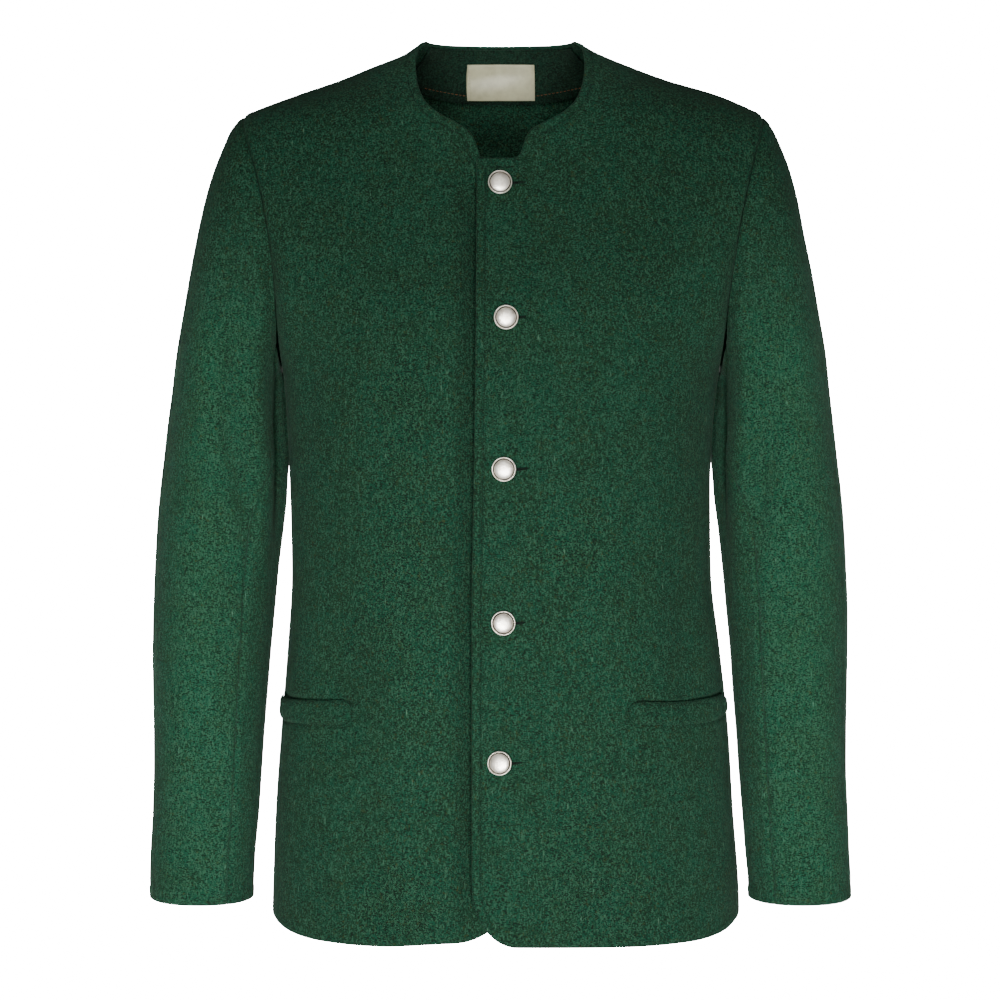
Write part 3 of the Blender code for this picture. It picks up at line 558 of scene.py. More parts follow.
def front_grid(row, column, side, kind):
    """A front's grid of (angle, height). "kind" is over or under."""
    along, up = CORNER[kind]
    middle_hem = float(look(HEM, side, 0.0))
    slope = math.sqrt(0.5)
    corner_z = middle_hem + up * (1 - slope)
    low_z = corner_z + (UNDERARM_Z - corner_z) * low_share(row)
    high_z = UNDERARM_Z + (NOTCH_Z - UNDERARM_Z) * (row - LOW_STEPS) / ARMHOLE_STEPS
    z = np.where(row <= LOW_STEPS, low_z, high_z)
    sine = np.clip(1 - (z - middle_hem) / up, 0, 1)
    across = -look(EDGE, kind, z) + along * (1 - np.sqrt(1 - sine ** 2))
    left = np.stack([body_angle(across, z, side), z], axis=-1)
    neck_end = NOTCH_STEPS + NECK_STEPS
    top = np.where((column <= neck_end)[:, None], neck_line(column, side, across[-1]),
                   shoulder_line((column - neck_end) / SHOULDER_STEPS))
    total = CLOSE_STEPS * CLOSE_SHARE + neck_end + SHOULDER_STEPS - CLOSE_STEPS
    u = np.where(column <= CLOSE_STEPS, column * CLOSE_SHARE,
                 column - CLOSE_STEPS * (1 - CLOSE_SHARE)) / total
    angle = left[0, 0] + (SEAM_ANGLE - left[0, 0]) * u
    foot_z = look(HEM, side, angle)
    foot_x = body_ring(angle, foot_z, side)[:, 0]
    reach = np.clip((across[0] + along * slope - foot_x) / along, 0, slope)
    foot_z = foot_z + up * (1 - np.sqrt(1 - reach ** 2))
    foot_z[0] = corner_z
    return patch(row, u, left, seam_line(row, side, "front"), np.stack([angle, foot_z], axis=-1), top)


def back_grid(row, column, side):
    """Half the back's grid of (angle, height), from the middle of the back to one side."""
    u = column / (BACK_NECK_STEPS + SHOULDER_STEPS)
    angle = 180 + (SEAM_ANGLE - 180) * u
    foot_z = look(HEM, side, angle)
    low_z = foot_z[0] + (UNDERARM_Z - foot_z[0]) * low_share(row)
    high_z = UNDERARM_Z + (RIM_Z - UNDERARM_Z) * (row - LOW_STEPS) / ARMHOLE_STEPS
    z = np.where(row <= LOW_STEPS, low_z, high_z)
    left = np.stack([180 + 0 * z, z], axis=-1)
    neck = np.stack([180 + (SEAM_ANGLE - 180) * column / BACK_NECK_STEPS, RIM_Z + 0 * column], axis=-1)
    top = np.where((column <= BACK_NECK_STEPS)[:, None], neck,
                   shoulder_line((column - BACK_NECK_STEPS) / SHOULDER_STEPS))
    return patch(row, u, left, seam_line(row, side, "back"), np.stack([angle, foot_z], axis=-1), top)


def into_piece(points, normal, edge):
    """Unit directions square to one edge of a grid, along the cloth and into the piece."""
    line, inside, face = {
        "first column": (points[:, 0], points[:, 1], normal[:, 0]),
        "last column": (points[:, -1], points[:, -2], normal[:, -1]),
        "first row": (points[0], points[1], normal[0]),
        "last row": (points[-1], points[-2], normal[-1])}[edge]
    into = unit(np.cross(face, unit(np.gradient(line, axis=0))))
    way = np.where(np.sum(into * (inside - line), axis=-1, keepdims=True) > 0, 1, -1)
    return into * way


def from_line(points, line, reach=24.0):
    """Distance of each point to a line and the place along it, looked up on points of the line
    0.7 mm apart. Points further than "reach" along both directions are left at that reach."""
    spacing = 0.7
    step = np.linalg.norm(np.diff(line, axis=0), axis=-1)
    length = np.concatenate(([0], np.cumsum(step)))
    at = np.arange(0, length[-1], spacing)
    dense = np.stack([np.interp(at, length, line[:, axis]) for axis in range(3)], axis=-1)
    flat = points.reshape(-1, 3)
    distance = np.full(len(flat), reach)
    place = np.zeros(len(flat))
    coarse = dense[::20]
    near = np.sqrt(((flat[:, None] - coarse[None]) ** 2).sum(-1)).min(axis=1) < reach + 20 * spacing
    for chosen in np.array_split(np.nonzero(near)[0], max(1, near.sum() // 4000)):
        gap = ((flat[chosen, None] - dense[None]) ** 2).sum(-1)
        distance[chosen] = np.minimum(np.sqrt(gap.min(axis=1)), reach)
        place[chosen] = at[gap.argmin(axis=1)]
    return distance.reshape(points.shape[:-1]), place.reshape(points.shape[:-1])


def armhole_joint(c, side):
    """Where body and sleeve meet, at places c round the armhole (0 the underarm, 1 the tip, on to
    2 by the back): the directions in which the body's and the sleeve's wall run inwards, and the
    way from the seam into the body's panel. The walls are mitred where the cloth bends a little,
    and stay square where it folds."""
    def place(c):
        c = np.mod(c, 2.0)
        front, back, z = armhole(np.where(c > 1, 2 - c, c), side)
        return np.where(c > 1, back, front), z
    degrees, z = place(c)
    of_body = body_normal(degrees, z, side)
    of_sleeve = sleeve_normal(c, 0 * c, side)
    step = 0.5 / ARMHOLE_STEPS
    run = unit(body_ring(*place(c + step), side) - body_ring(*place(c - step), side))
    of_body = unit(of_body - run * np.sum(of_body * run, axis=-1, keepdims=True))
    of_sleeve = unit(of_sleeve - run * np.sum(of_sleeve * run, axis=-1, keepdims=True))
    into_body = np.cross(of_body, run)
    into_sleeve = -np.cross(of_sleeve, run)
    away = unit((into_body - into_sleeve) - (of_body - of_sleeve))
    middle = unit(of_body + of_sleeve + 1e-6 * into_body)
    cosine = np.maximum(np.sum(middle * of_body, axis=-1, keepdims=True), 0.3)
    share = ease((cosine - 0.5) / 0.3)
    mitre = -middle * CLOTH / cosine
    return (share * mitre - (1 - share) * of_body * CLOTH,
            share * mitre - (1 - share) * of_sleeve * CLOTH, away)


# Sleeves. Two-part sleeves, set into the armhole: each ring has a point against the body (in) and
# one on the outer side (out), and the rings turn about the underarm like a fan until they are level.
SLEEVE = columns("in_z out_z in_right in_left out_right out_left middle front back", (
    (-274, -52, 183.6, 185.1, 216, 222, 5, 62, 64),
    (-275.5, -62, 184.6, 186.1, 226, 230, 5, 63, 65),
    (-277, -78, 184.8, 186.3, 234, 238, 6, 65, 66),
    (-279, -98, 184.8, 186.2, 242.5, 246, 8, 66, 67),
    (-281, -123, 184.6, 186.1, 250.5, 253, 10, 66, 68),
    (-283.5, -153, 184.4, 185.8, 257.5, 259, 12, 68, 69),
    (-286.5, -186, 184.2, 185.4, 264, 266, 13, 69, 70),
    (-290, -220, 184.0, 185.0, 270, 272, 14, 70, 70),
    (-295, -255, 183.4, 184.0, 276, 278, 15, 70, 70),
    (-305, -288, 182.8, 183.3, 280, 281.5, 16, 70, 69),
    (-322, -318, 182.0, 182.4, 284, 285, 16, 69, 68),
    (-345, -345, 181.0, 181.2, 287, 288, 16, 68, 67),
    (-372, -372, 181.5, 182.2, 290, 291, 14, 67, 66),
    (-404, -404, 184.5, 186.0, 292.5, 293.5, 12, 65, 64),
    (-438, -438, 188.5, 189.5, 294, 295, 9, 63, 62),
    (-472, -472, 191.5, 192.5, 295, 296, 6, 61, 60),
    (-506, -506, 194.5, 195.5, 295.5, 295.5, 2, 59, 58),
    (-540, -540, 197.0, 197.5, 294.5, 294.5, -3, 56, 56),
    (-574, -574, 199.5, 200.0, 293.5, 293.5, -8, 53, 53),
    (-608, -608, 201.5, 202.0, 293, 293, -13, 50, 50),
    (-642, -642, 203.5, 204.5, 293.5, 294, -18, 47, 47),
    (-676, -676, 206.5, 207.0, 295, 295, -22, 44, 44),
    (-698, -698, 207.5, 209.0, 295.5, 296, -24, 42, 42),
    (-713, -713, 208.0, 209.5, 295, 296, -25, 41, 41)))
LAST_RING = len(SLEEVE["in_z"]) - 1
FAN_RINGS = 10
CUFF_DIP = 4.0
UNDER_STEPS = 3

# Seams between top and under sleeve: angle round the ring from the inner side, by height.
SLEEVE_SEAM = columns("height forearm hind", (
    (-713, 56, 52),
    (-440, 56, 52),
    (-400, 54, 50),
    (-368, 48, 46),
    (-345, 30, 38),
    (-326, 18, 34),
    (-300, 22, 34),
    (-274, 28, 36)))

# Creases of the sleeves: side, angle round the ring, height, half size round and up, how the angle
# slants for each mm up, and rise.
SLEEVE_CREASES = (
    ("right", 77, -335, 11, 84, 0.28, -9.0),
    ("left", 75, -348, 11, 82, 0.26, -8.5),
    ("right", 54, -315, 11, 80, 0.1, 4.0),
    ("left", 55, -310, 11, 76, 0.1, 4.0),
    ("right", 17, -335, 12, 72, 0.0, -10.0),
    ("left", 17, -335, 12, 68, 0.0, -10.0),
    ("right", 340, -308, 14, 34, 0.0, 8.5),
    ("left", 340, -308, 14, 34, 0.0, 8.5),
    ("right", 100, -190, 20, 40, 0.3, -2.0),
    ("left", 104, -176, 18, 46, 0.3, -2.2),
    ("right", 64, -452, 12, 26, 0.5, -2.6),
    ("left", 60, -462, 12, 30, 0.5, -2.2),
    ("right", 262, -372, 40, 15, 0.2, -4.6),
    ("left", 268, -384, 40, 16, -0.2, -4.6),
    ("right", 276, -420, 44, 14, 0.0, -3.4),
    ("left", 262, -436, 44, 15, 0.1, -3.4),
    ("right", 240, -500, 40, 18, 0.2, -2.2),
    ("left", 248, -512, 36, 17, 0.0, -2.4),
)
RING_PARTS = ((0, 1, 14), (1, 4, 8), (4, 22, 9), (22, 23, 16))


def sleeve_oval(c, ring, side):
    """One ring of the sleeve at places c round it: 0 is the inner side against the body, 0.5 the
    front, 1 the outer side, 1.5 the back. From its inner to its outer point the ring goes by a
    cosine, and to front and back by a sine times its depth."""
    rings = np.arange(LAST_RING + 1.0)
    at = {name: smooth(ring, rings, column) for name, column in SLEEVE.items()}
    angle = np.pi * c
    share = (1 - np.cos(angle)) / 2
    x = at["in_" + side] + (at["out_" + side] - at["in_" + side]) * share
    z = at["in_z"] + (at["out_z"] - at["in_z"]) * share
    depth = np.where(np.sin(angle) > 0, at["front"], at["back"])
    y = at["middle"] - depth * np.sin(angle) * fuller(angle)
    return np.stack([x, y, z], axis=-1)


def sleeve_form(c, ring, side):
    """The sleeve: its first ring is the armhole itself, and what the armhole differs from an oval
    by fades out over the fan of rings. The cuff dips a little at the front."""
    c = np.mod(c, 2.0) + 0 * ring
    ring = ring + 0 * c
    point = sleeve_oval(c, ring, side)
    places = np.linspace(0, 2, 16 * ARMHOLE_STEPS + 1)
    front, back, loop_z = armhole(np.where(places > 1, 2 - places, places), side)
    loop = body_ring(np.where(places > 1, back, front), loop_z, side) - sleeve_oval(places, 0 * places, side)
    fade = np.clip(1 - ring / FAN_RINGS, 0, 1) ** 2
    for axis in range(3):
        point[..., axis] += fade * np.interp(c, places, loop[:, axis])
    point[..., 2] -= CUFF_DIP * np.maximum(np.sin(np.pi * c), 0) * ease((ring - LAST_RING + 3) / 3)
    return point


def sleeve_normal(c, ring, side):
    """Outward normal of the sleeve's form, from small steps along it and round it."""
    step = 0.02
    low = np.maximum(ring - step, 0)
    high = np.minimum(ring + step, LAST_RING)
    along = sleeve_form(c, high, side) - sleeve_form(c, low, side)
    round_step = sleeve_form(c + step, ring, side) - sleeve_form(c - step, ring, side)
    return unit(np.cross(along, round_step))


def sleeve_crease(c, ring, points, side):
    """Sum of the sleeve's creases, none at the armhole: bells over the angle and the height."""
    degrees = 180 * np.mod(c, 2.0) + 0 * ring
    rise = np.zeros(points.shape[:-1])
    for crease_side, where, height, half_angle, half_high, slant, high in SLEEVE_CREASES:
        if crease_side == side:
            up = points[..., 2] - height
            rise += high * bell((degrees - where - slant * up) / half_angle) * bell(up / half_high)
    return rise * ease(ring / 4)


# Pocket welts. Strips of the same wool with a rounded end, sewn in below each pocket mouth. The
# mouth is a slit above the welt, which gapes towards the side seam. Angles are on the body's ring,
# and "along" runs from 0 at the front end to 1 at the side.
WELT_ANGLES = {"left": (32.0, 79.5), "right": (40.5, 88.5)}
WELT_LINES = {
    "left": columns("along top foot", (
        (0.0, -546.0, -564.0),
        (0.3, -547.0, -565.5),
        (0.6, -545.5, -564.4),
        (0.85, -543.8, -561.8),
        (1.0, -542.6, -559.0))),
    "right": columns("along top foot", (
        (0.0, -545.0, -564.4),
        (0.3, -546.5, -565.5),
        (0.75, -546.6, -565.2),
        (0.92, -544.6, -563.5),
        (1.0, -541.8, -560.5)))}
WELT_THICK = 2.9
WELT_CROWN = 0.7
WELT_ROUND = 8.0
WELT_GAPE = 0.9
MOUTH_DEPTH = 3.4
MOUTH_WIDE = 1.3
MOUTH_WIDENS = 1.1
WELT_LINE_DEPTH = 2.2
ROUND_BODY_MM = 150.0


def welt_place(degrees, z, side):
    """Where a point lies on the welt: its share along, its distance in mm outside the welt's rounded
    outline (negative inside), and the heights of the welt's top and foot there."""
    first, last = WELT_ANGLES[side]
    along = (degrees - first) / (last - first)
    top = look(WELT_LINES[side], "top", along)
    foot = look(WELT_LINES[side], "foot", along)
    long = math.radians(last - first) * ROUND_BODY_MM
    beside = np.abs(along - 0.5) * long - (long / 2 - WELT_ROUND)
    above = np.abs(z - (top + foot) / 2) - ((top - foot) / 2 - WELT_ROUND)
    corner = np.hypot(np.maximum(beside, 0), np.maximum(above, 0))
    return along, corner + np.minimum(np.maximum(beside, above), 0) - WELT_ROUND, top, foot


def pocket_mouth(degrees, z, side):
    """The slit above the welt, wider to the side, and the sewn-in line round the rest of it."""
    along, outside, top, _ = welt_place(degrees, z, side)
    wide = MOUTH_WIDE + MOUTH_WIDENS * np.clip(along, 0, 1) ** 2
    run = ease(along / 0.12) * ease((1.03 - along) / 0.05)
    slit = MOUTH_DEPTH * bell((z - top - wide * 0.6) / wide) * run
    return -np.maximum(slit, WELT_LINE_DEPTH * bell((outside - 0.4) / 1.2))


# Edges and seams of the cloth. A seam sinks into a narrow groove. A free edge is turned in and
# topstitched 7 mm from the fold, and the cuffs are turned up and felled by hand. An edge falls away
# by EDGE_DROP outside, the cloth thins there by a share of that, and its rim bulges a little.
TOPSTITCH_MM = 7.0
STITCH_MM = 3.0
CUFF_HEM_MM = 9.0
SEAM_DEPTH = 1.4
SEAM_WIDE = 1.6
TURNING_RISE = 0.45
TURNING_AT = 5.5
PUFF_HIGH = 0.6
STITCH_LINE_DEPTH = 1.8
STITCH_LINE_WIDE = 0.9
EDGE_DROP = 0.75
EDGE_THIN_SHARE = 0.6
HEM_RISE = 0.45
HEM_LINE_DEPTH = 0.3
FOLD_DEPTH = 10.0
FOLD_WIDE = 8.0
FOLD_TOP_Z = -135.0
RIM_BULGE = 0.6
THREAD_SIDES = 6
CONTOUR_STEP_MM = 1.5


def seam_groove(distance):
    """A groove at the seam and a soft swell of the turnings beside it."""
    return -SEAM_DEPTH * bell(distance / SEAM_WIDE) + TURNING_RISE * bell((distance - TURNING_AT) / 3)


def armhole_fold(points, distance):
    """How far back the cloth is drawn into the fold at the lower front of the armhole, for body and
    sleeve alike: this much along Y."""
    low = ease((FOLD_TOP_Z - points[..., 2]) / 60) * ease((points[..., 2] - UNDERARM_Z + 18) / 20)
    return FOLD_DEPTH * bell(distance / FOLD_WIDE) * low * ease((12 - points[..., 1]) / 30)


def rolled_edge(distance):
    """The outer surface falls away at a folded edge as a quarter of a circle."""
    inside = np.clip(1 - distance / ROUND_MM, 0, 1)
    return -EDGE_DROP * (1 - np.sqrt(1 - inside ** 2))


def topstitched(distance, place):
    """A puffed band along a folded edge, bounded by the groove that the stitches pull in."""
    band = np.clip(distance / TOPSTITCH_MM, 0, 1)
    puff = PUFF_HIGH * np.sin(np.pi * band) ** 0.6
    pull = 0.8 + 0.2 * np.cos(2 * np.pi * place / STITCH_MM)
    line = STITCH_LINE_DEPTH * pull * bell((distance - TOPSTITCH_MM) / STITCH_LINE_WIDE)
    beyond = 0.35 * bell((distance - TOPSTITCH_MM - 3.5) / 2.5)
    return puff - line + beyond + rolled_edge(distance)


def turned_hem(distance):
    """A hem turned up inside: double cloth near the edge, ending at a faint line."""
    double = HEM_RISE * (1 - ease((distance - CUFF_HEM_MM) / 3))
    line = HEM_LINE_DEPTH * bell((distance - CUFF_HEM_MM - 1) / 1.5)
    return double - line + rolled_edge(distance)


def finished(name, mesh, finish):
    """The object of a mesh, shaded smooth and in its material."""
    mesh.shade_smooth()
    mesh.materials.append(finish)
    return put(name, mesh)


def cloth_piece(name, outer, inner, swell, finish):
    """One closed piece of cloth from its outer and inner points, in metres where it is made. Its
    rim has a middle line between the two, which bulges by "swell" (for each edge point) outwards."""
    rows, count_across = outer.shape[:2]
    count = rows * count_across
    number = np.arange(count).reshape(rows, count_across)
    edge = np.concatenate((number[0, :-1], number[:-1, -1], number[-1, :0:-1], number[:0:-1, 0]))
    flat_outer, flat_inner = outer.reshape(-1, 3), inner.reshape(-1, 3)
    middle = (flat_outer[edge] + flat_inner[edge]) / 2 + swell.reshape(-1, 3)[edge]
    points = np.concatenate((flat_outer, flat_inner, middle)) * MM
    rim = 2 * count + np.arange(len(edge))
    onward, rim_onward = np.roll(edge, -1), np.roll(rim, -1)
    a, b = number[:-1, :-1].ravel(), number[:-1, 1:].ravel()
    c, d = number[1:, 1:].ravel(), number[1:, :-1].ravel()
    faces = np.concatenate((
        np.stack([a, b, c, d], 1), np.stack([d, c, b, a], 1) + count,
        np.stack([onward, edge, rim, rim_onward], 1),
        np.stack([rim_onward, rim, edge + count, onward + count], 1)))
    corners = points[faces] - points.mean(axis=0)
    volume = np.sum(corners[:, 0] * np.cross(corners[:, 1], corners[:, 2]))
    volume += np.sum(corners[:, 0] * np.cross(corners[:, 2], corners[:, 3]))
    if volume < 0:
        faces = faces[:, ::-1]
    mesh = bpy.data.meshes.new(name)
    mesh.vertices.add(len(points))
    mesh.vertices.foreach_set("co", points.ravel())
    mesh.loops.add(faces.size)
    mesh.loops.foreach_set("vertex_index", faces.ravel())
    mesh.polygons.add(len(faces))
    mesh.polygons.foreach_set("loop_start", np.arange(0, faces.size, 4))
    mesh.update(calc_edges=True)
    return finished(name, mesh, finish)


def threads(name, paths, normals, radius, finish):
    """Short round threads as one mesh. Each path is a row of points, with the cloth's normal there,
    and tapers at both ends."""
    count, steps = paths.shape[:2]
    run = unit(np.gradient(paths, axis=1))
    across = unit(np.cross(normals, run))
    up = np.cross(run, across)
    taper = np.sqrt(np.clip(1 - np.linspace(-1, 1, steps) ** 4, 0.1, 1))[None, :, None, None]
    turns = full_turn(THREAD_SIDES)[:, None]
    round_way = np.cos(turns) * across[:, :, None] + np.sin(turns) * up[:, :, None]
    points = paths[:, :, None] + radius * taper * round_way
    number = np.arange(count * steps * THREAD_SIDES).reshape(count, steps, THREAD_SIDES)
    onward = np.roll(number, -1, axis=2)
    sides = np.stack([number[:, :-1], onward[:, :-1], onward[:, 1:], number[:, 1:]], axis=-1)
    ends = np.concatenate((number[:, 0, ::-1], number[:, -1]))
    faces = sides.reshape(-1, 4).tolist() + ends.tolist()
    mesh = bpy.data.meshes.new(name)
    mesh.from_pydata((points.reshape(-1, 3) * MM).tolist(), [], faces)
    piece = finished(name, mesh, finish)
    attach(piece, "root")
    return piece


def stitch_paths(line, normals, pitch, gap, sink):
    """A line of points cut into stitches: each is "pitch" minus "gap" long and sinks at its ends."""
    length = np.concatenate(([0], np.cumsum(np.linalg.norm(np.diff(line, axis=0), axis=-1))))
    starts = np.arange(gap, length[-1] - pitch, pitch)
    share = np.linspace(0, 1, 5)
    at = starts[:, None] + share * (pitch - gap)
    place = np.stack([np.interp(at, length, line[:, axis]) for axis in range(3)], axis=-1)
    normal = unit(np.stack([np.interp(at, length, normals[:, axis]) for axis in range(3)], axis=-1))
    return place - normal * (sink * (2 * share[:, None] - 1) ** 4), normal


def contour(points, normal, distance, place, level):
    """The line on a grid of points where the distance passes this level, in order of place, with
    the normals there."""
    found = []
    for across in (False, True):
        grids = points, normal, place[..., None], distance
        if across:
            grids = [np.swapaxes(grid, 0, 1) for grid in grids]
        far = grids[3]
        passes = (far[:-1] - level) * (far[1:] - level) < 0
        share = ((level - far[:-1][passes]) / (far[1:] - far[:-1])[passes])[:, None]
        values = [grid[:-1][passes] * (1 - share) + grid[1:][passes] * share for grid in grids[:3]]
        found.append(np.concatenate(values, axis=-1))
    found = np.concatenate(found)
    found = found[np.argsort(found[:, 6])]
    bins = np.round(found[:, 6] / CONTOUR_STEP_MM).astype(int)
    kept = np.unique(bins)
    mean = np.stack([found[bins == one].mean(axis=0) for one in kept])
    return mean[:, :3], unit(mean[:, 3:6])


def mirrored(points, side):
    """From distances across to X, which is negative on the wearer's right."""
    return points * np.array([1.0 if side == "left" else -1.0, 1.0, 1.0])


def body_panel(grid, row, shoulder, side, face, kind=None):
    """Outer and inner points of a body panel on one side, the bulge of its rim, and a set of the
    outward normals, the distances to its free edge and the places along it. "shoulder" is the
    column of the neck point. The under-front sinks by one cloth and the lap's gap where the
    over-front covers it, and by the trough beside that."""
    degrees, z = grid[..., 0], grid[..., 1]
    base = body_ring(degrees, z, side)
    normal = body_normal(degrees, z, side)
    rise = body_crease(base, side)
    seam, _ = from_line(base, base[:, -1])
    top_seam, _ = from_line(base, base[-1, shoulder:])
    rise += seam_groove(seam) + seam_groove(top_seam)
    if kind:
        rise += pocket_mouth(degrees, z, side)
    free = base[-1, :shoulder + 1]
    if kind:
        free = np.concatenate((base[:, 0], free))
    edge, place = from_line(base, free)
    hem, _ = from_line(base, base[0])
    band = topstitched(edge, place)
    if kind == "under":
        covered = look(EDGE, "over", z)
        band = np.where(band > 0, band * ease((base[..., 0] - covered) / 4), band)
        past = base[..., 0] - covered
        rise -= (CLOTH + LAP_GAP) * (1 - ease((past - LAP_FLAT) / LAP_SLOPE))
        rise -= look(LAP_TROUGH, "depth", z) * bell((past + LAP_TROUGH_IN) / LAP_TROUGH_WIDE)
    rise += band + rolled_edge(hem)
    outer = base + normal * rise[..., None]
    if kind:
        outer[..., 1] += armhole_fold(base, seam)
    inward = -normal * (CLOTH + rolled_edge(np.minimum(edge, hem)) * EDGE_THIN_SHARE)[..., None]
    s = np.clip((row - LOW_STEPS) / ARMHOLE_STEPS, 0, 1)
    body_in, _, away = armhole_joint(s if face == "front" else 2 - s, side)
    weight = ((1 - ease(seam / BLEND_MM)) * ease((row - LOW_STEPS) / 0.3 + 1)[:, None])[..., None]
    inward = inward + weight * (body_in - inward[:, -1])[:, None]
    shift = np.zeros_like(outer)
    shift[:, -1] += into_piece(outer, normal, "last column") * SEAM_GAP / 2
    high = row >= LOW_STEPS
    shift[high, -1] = away[high] * SEAM_GAP / 2
    shift[-1, shoulder:] += into_piece(outer, normal, "last row")[shoulder:] * SEAM_GAP / 2
    swell = np.zeros_like(outer)
    swell[0] -= into_piece(base, normal, "first row") * RIM_BULGE
    swell[-1, :shoulder] -= into_piece(base, normal, "last row")[:shoulder] * RIM_BULGE
    if kind:
        swell[:, 0] -= into_piece(base, normal, "first column") * RIM_BULGE
    return outer + shift, outer + shift + inward, swell, (normal, edge, place)


# Back. One piece of boiled wool from side seam to side seam, with the neck edge turned in.
def make_back():
    """Both halves of the back, joined at the middle column."""
    row = divided(ROW_PARTS)
    column = divided(BACK_COLUMN_PARTS)
    shoulder = int(np.searchsorted(column, BACK_NECK_STEPS))
    halves = {}
    for side in ("left", "right"):
        sheets = body_panel(back_grid(row, column, side), row, shoulder, side, "back")
        halves[side] = [mirrored(sheet, side) for sheet in sheets[:3]]
    joined = []
    for left, right in zip(halves["left"], halves["right"]):
        middle = (left[:, :1] + right[:, :1]) / 2
        joined.append(np.concatenate((left[:, :0:-1], middle, right[:, 1:]), axis=1))
    piece = cloth_piece("back_panel", *joined, WOOL)
    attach(piece, "root")
    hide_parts("back")
    return piece


back_panel = make_back()


# Fronts. The wearer's left laps over the right. Each has a rounded lower corner, a notch and a
# neckline in one turned and topstitched edge, and is sewn to the back at side and shoulder.
STITCH_RADIUS = 0.32
STITCH_GAP = 0.6
STITCH_SINK = 0.35
TWIST_MM = 0.8


def sewing_thread(name, dark, light):
    """Twisted polyester: the twist is finer than a pixel, so only its change of tone shows."""
    made, tree, shader = new_material(name, 0.6)
    place = add_node(tree, "ShaderNodeTexCoord").outputs["Object"]
    twist = noise_between(tree, place, TWIST_MM, 0.35, 0.65, 1.0, 9.0)
    tree.links.new(mix_colour(tree, twist, dark, light), shader.inputs["Base Color"])
    shader.inputs["Specular IOR Level"].default_value = 0.08
    return made


GREEN_THREAD = sewing_thread("green_sewing_thread", "020a06", "061a10")


def make_front(side, kind):
    row = divided(ROW_PARTS)
    column = divided(FRONT_COLUMN_PARTS)
    shoulder = int(np.searchsorted(column, NOTCH_STEPS + NECK_STEPS))
    grid = front_grid(row, column, side, kind)
    outer, inner, swell, lie = body_panel(grid, row, shoulder, side, "front", kind)
    piece = cloth_piece("front_panel_" + side, mirrored(outer, side), mirrored(inner, side),
                        mirrored(swell, side), WOOL)
    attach(piece, "root")
    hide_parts("front_" + side)
    line, normals = contour(outer, *lie, TOPSTITCH_MM)
    paths, normals = stitch_paths(mirrored(line, side), mirrored(normals, side),
                                  STITCH_MM, STITCH_GAP, STITCH_SINK)
    return piece, threads("edge_stitches_" + side, paths, normals, STITCH_RADIUS, GREEN_THREAD)


front_left, left_stitches = make_front("left", "over")
front_right, right_stitches = make_front("right", "under")


# Sleeves. Each is a top sleeve and a narrow under sleeve, joined by a forearm seam at the front
# and a hind seam at the back, with the cuff turned up inside.
def sleeve_panel(side, part):
    """Outer and inner points of a top or under sleeve, and the bulge of its rim. Its columns start
    on the armhole's steps and slide to where the seams between the two parts run."""
    ring = divided(RING_PARTS)[:, None]
    in_z = smooth(ring, np.arange(LAST_RING + 1.0), SLEEVE["in_z"])
    start = UNDER_STEPS / ARMHOLE_STEPS
    turn = ease(ring / 4)
    forearm = look(SLEEVE_SEAM, "forearm", in_z) / 180
    hind = look(SLEEVE_SEAM, "hind", in_z) / 180
    forearm = start + (forearm - start) * turn
    hind = start + (hind - start) * turn
    if part == "top":
        steps = 2 * (ARMHOLE_STEPS - UNDER_STEPS)
        step = divided(((0, 1, 12), (1, steps - 1, 5), (steps - 1, steps, 12)))
        c = forearm + (2 - hind - forearm) * step / steps
        on_armhole = (UNDER_STEPS + step) / ARMHOLE_STEPS
    else:
        steps = 2 * UNDER_STEPS
        step = divided(((0, 1, 12), (1, steps - 1, 6), (steps - 1, steps, 12)))
        c = -hind + (forearm + hind) * step / steps
        on_armhole = (step - UNDER_STEPS) / ARMHOLE_STEPS
    base = sleeve_form(c, ring, side)
    normal = sleeve_normal(c, ring, side)
    armhole_seam, _ = from_line(base, base[0])
    first, _ = from_line(base, base[:, 0])
    last, _ = from_line(base, base[:, -1])
    cuff, _ = from_line(base, base[-1])
    rise = sleeve_crease(c, ring, base, side) + turned_hem(cuff)
    for seam in (armhole_seam, first, last):
        rise += seam_groove(seam)
    outer = base + normal * rise[..., None]
    outer[..., 1] += armhole_fold(base, armhole_seam)
    inward = -normal * (CLOTH + rolled_edge(cuff) * EDGE_THIN_SHARE)[..., None]
    _, sleeve_in, away = armhole_joint(on_armhole, side)
    weight = (1 - ease(armhole_seam / BLEND_MM))[..., None]
    inward = inward + weight * (sleeve_in - inward[0])[None]
    shift = np.zeros_like(outer)
    shift[0] = -away * SEAM_GAP / 2
    shift[:, 0] += into_piece(outer, normal, "first column") * SEAM_GAP / 2
    shift[:, -1] += into_piece(outer, normal, "last column") * SEAM_GAP / 2
    swell = np.zeros_like(outer)
    swell[-1] -= into_piece(base, normal, "last row") * RIM_BULGE
    return outer + shift, outer + shift + inward, swell


def make_sleeve(side, part):
    outer, inner, swell = (mirrored(points, side) for points in sleeve_panel(side, part))
    piece = cloth_piece(part + "_sleeve_" + side, outer, inner, swell, WOOL)
    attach(piece, "root")
    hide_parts("sleeve_" + side + "_" + part)
    return piece


sleeves = {(side, part): make_sleeve(side, part) for side in ("left", "right") for part in ("top", "under")}


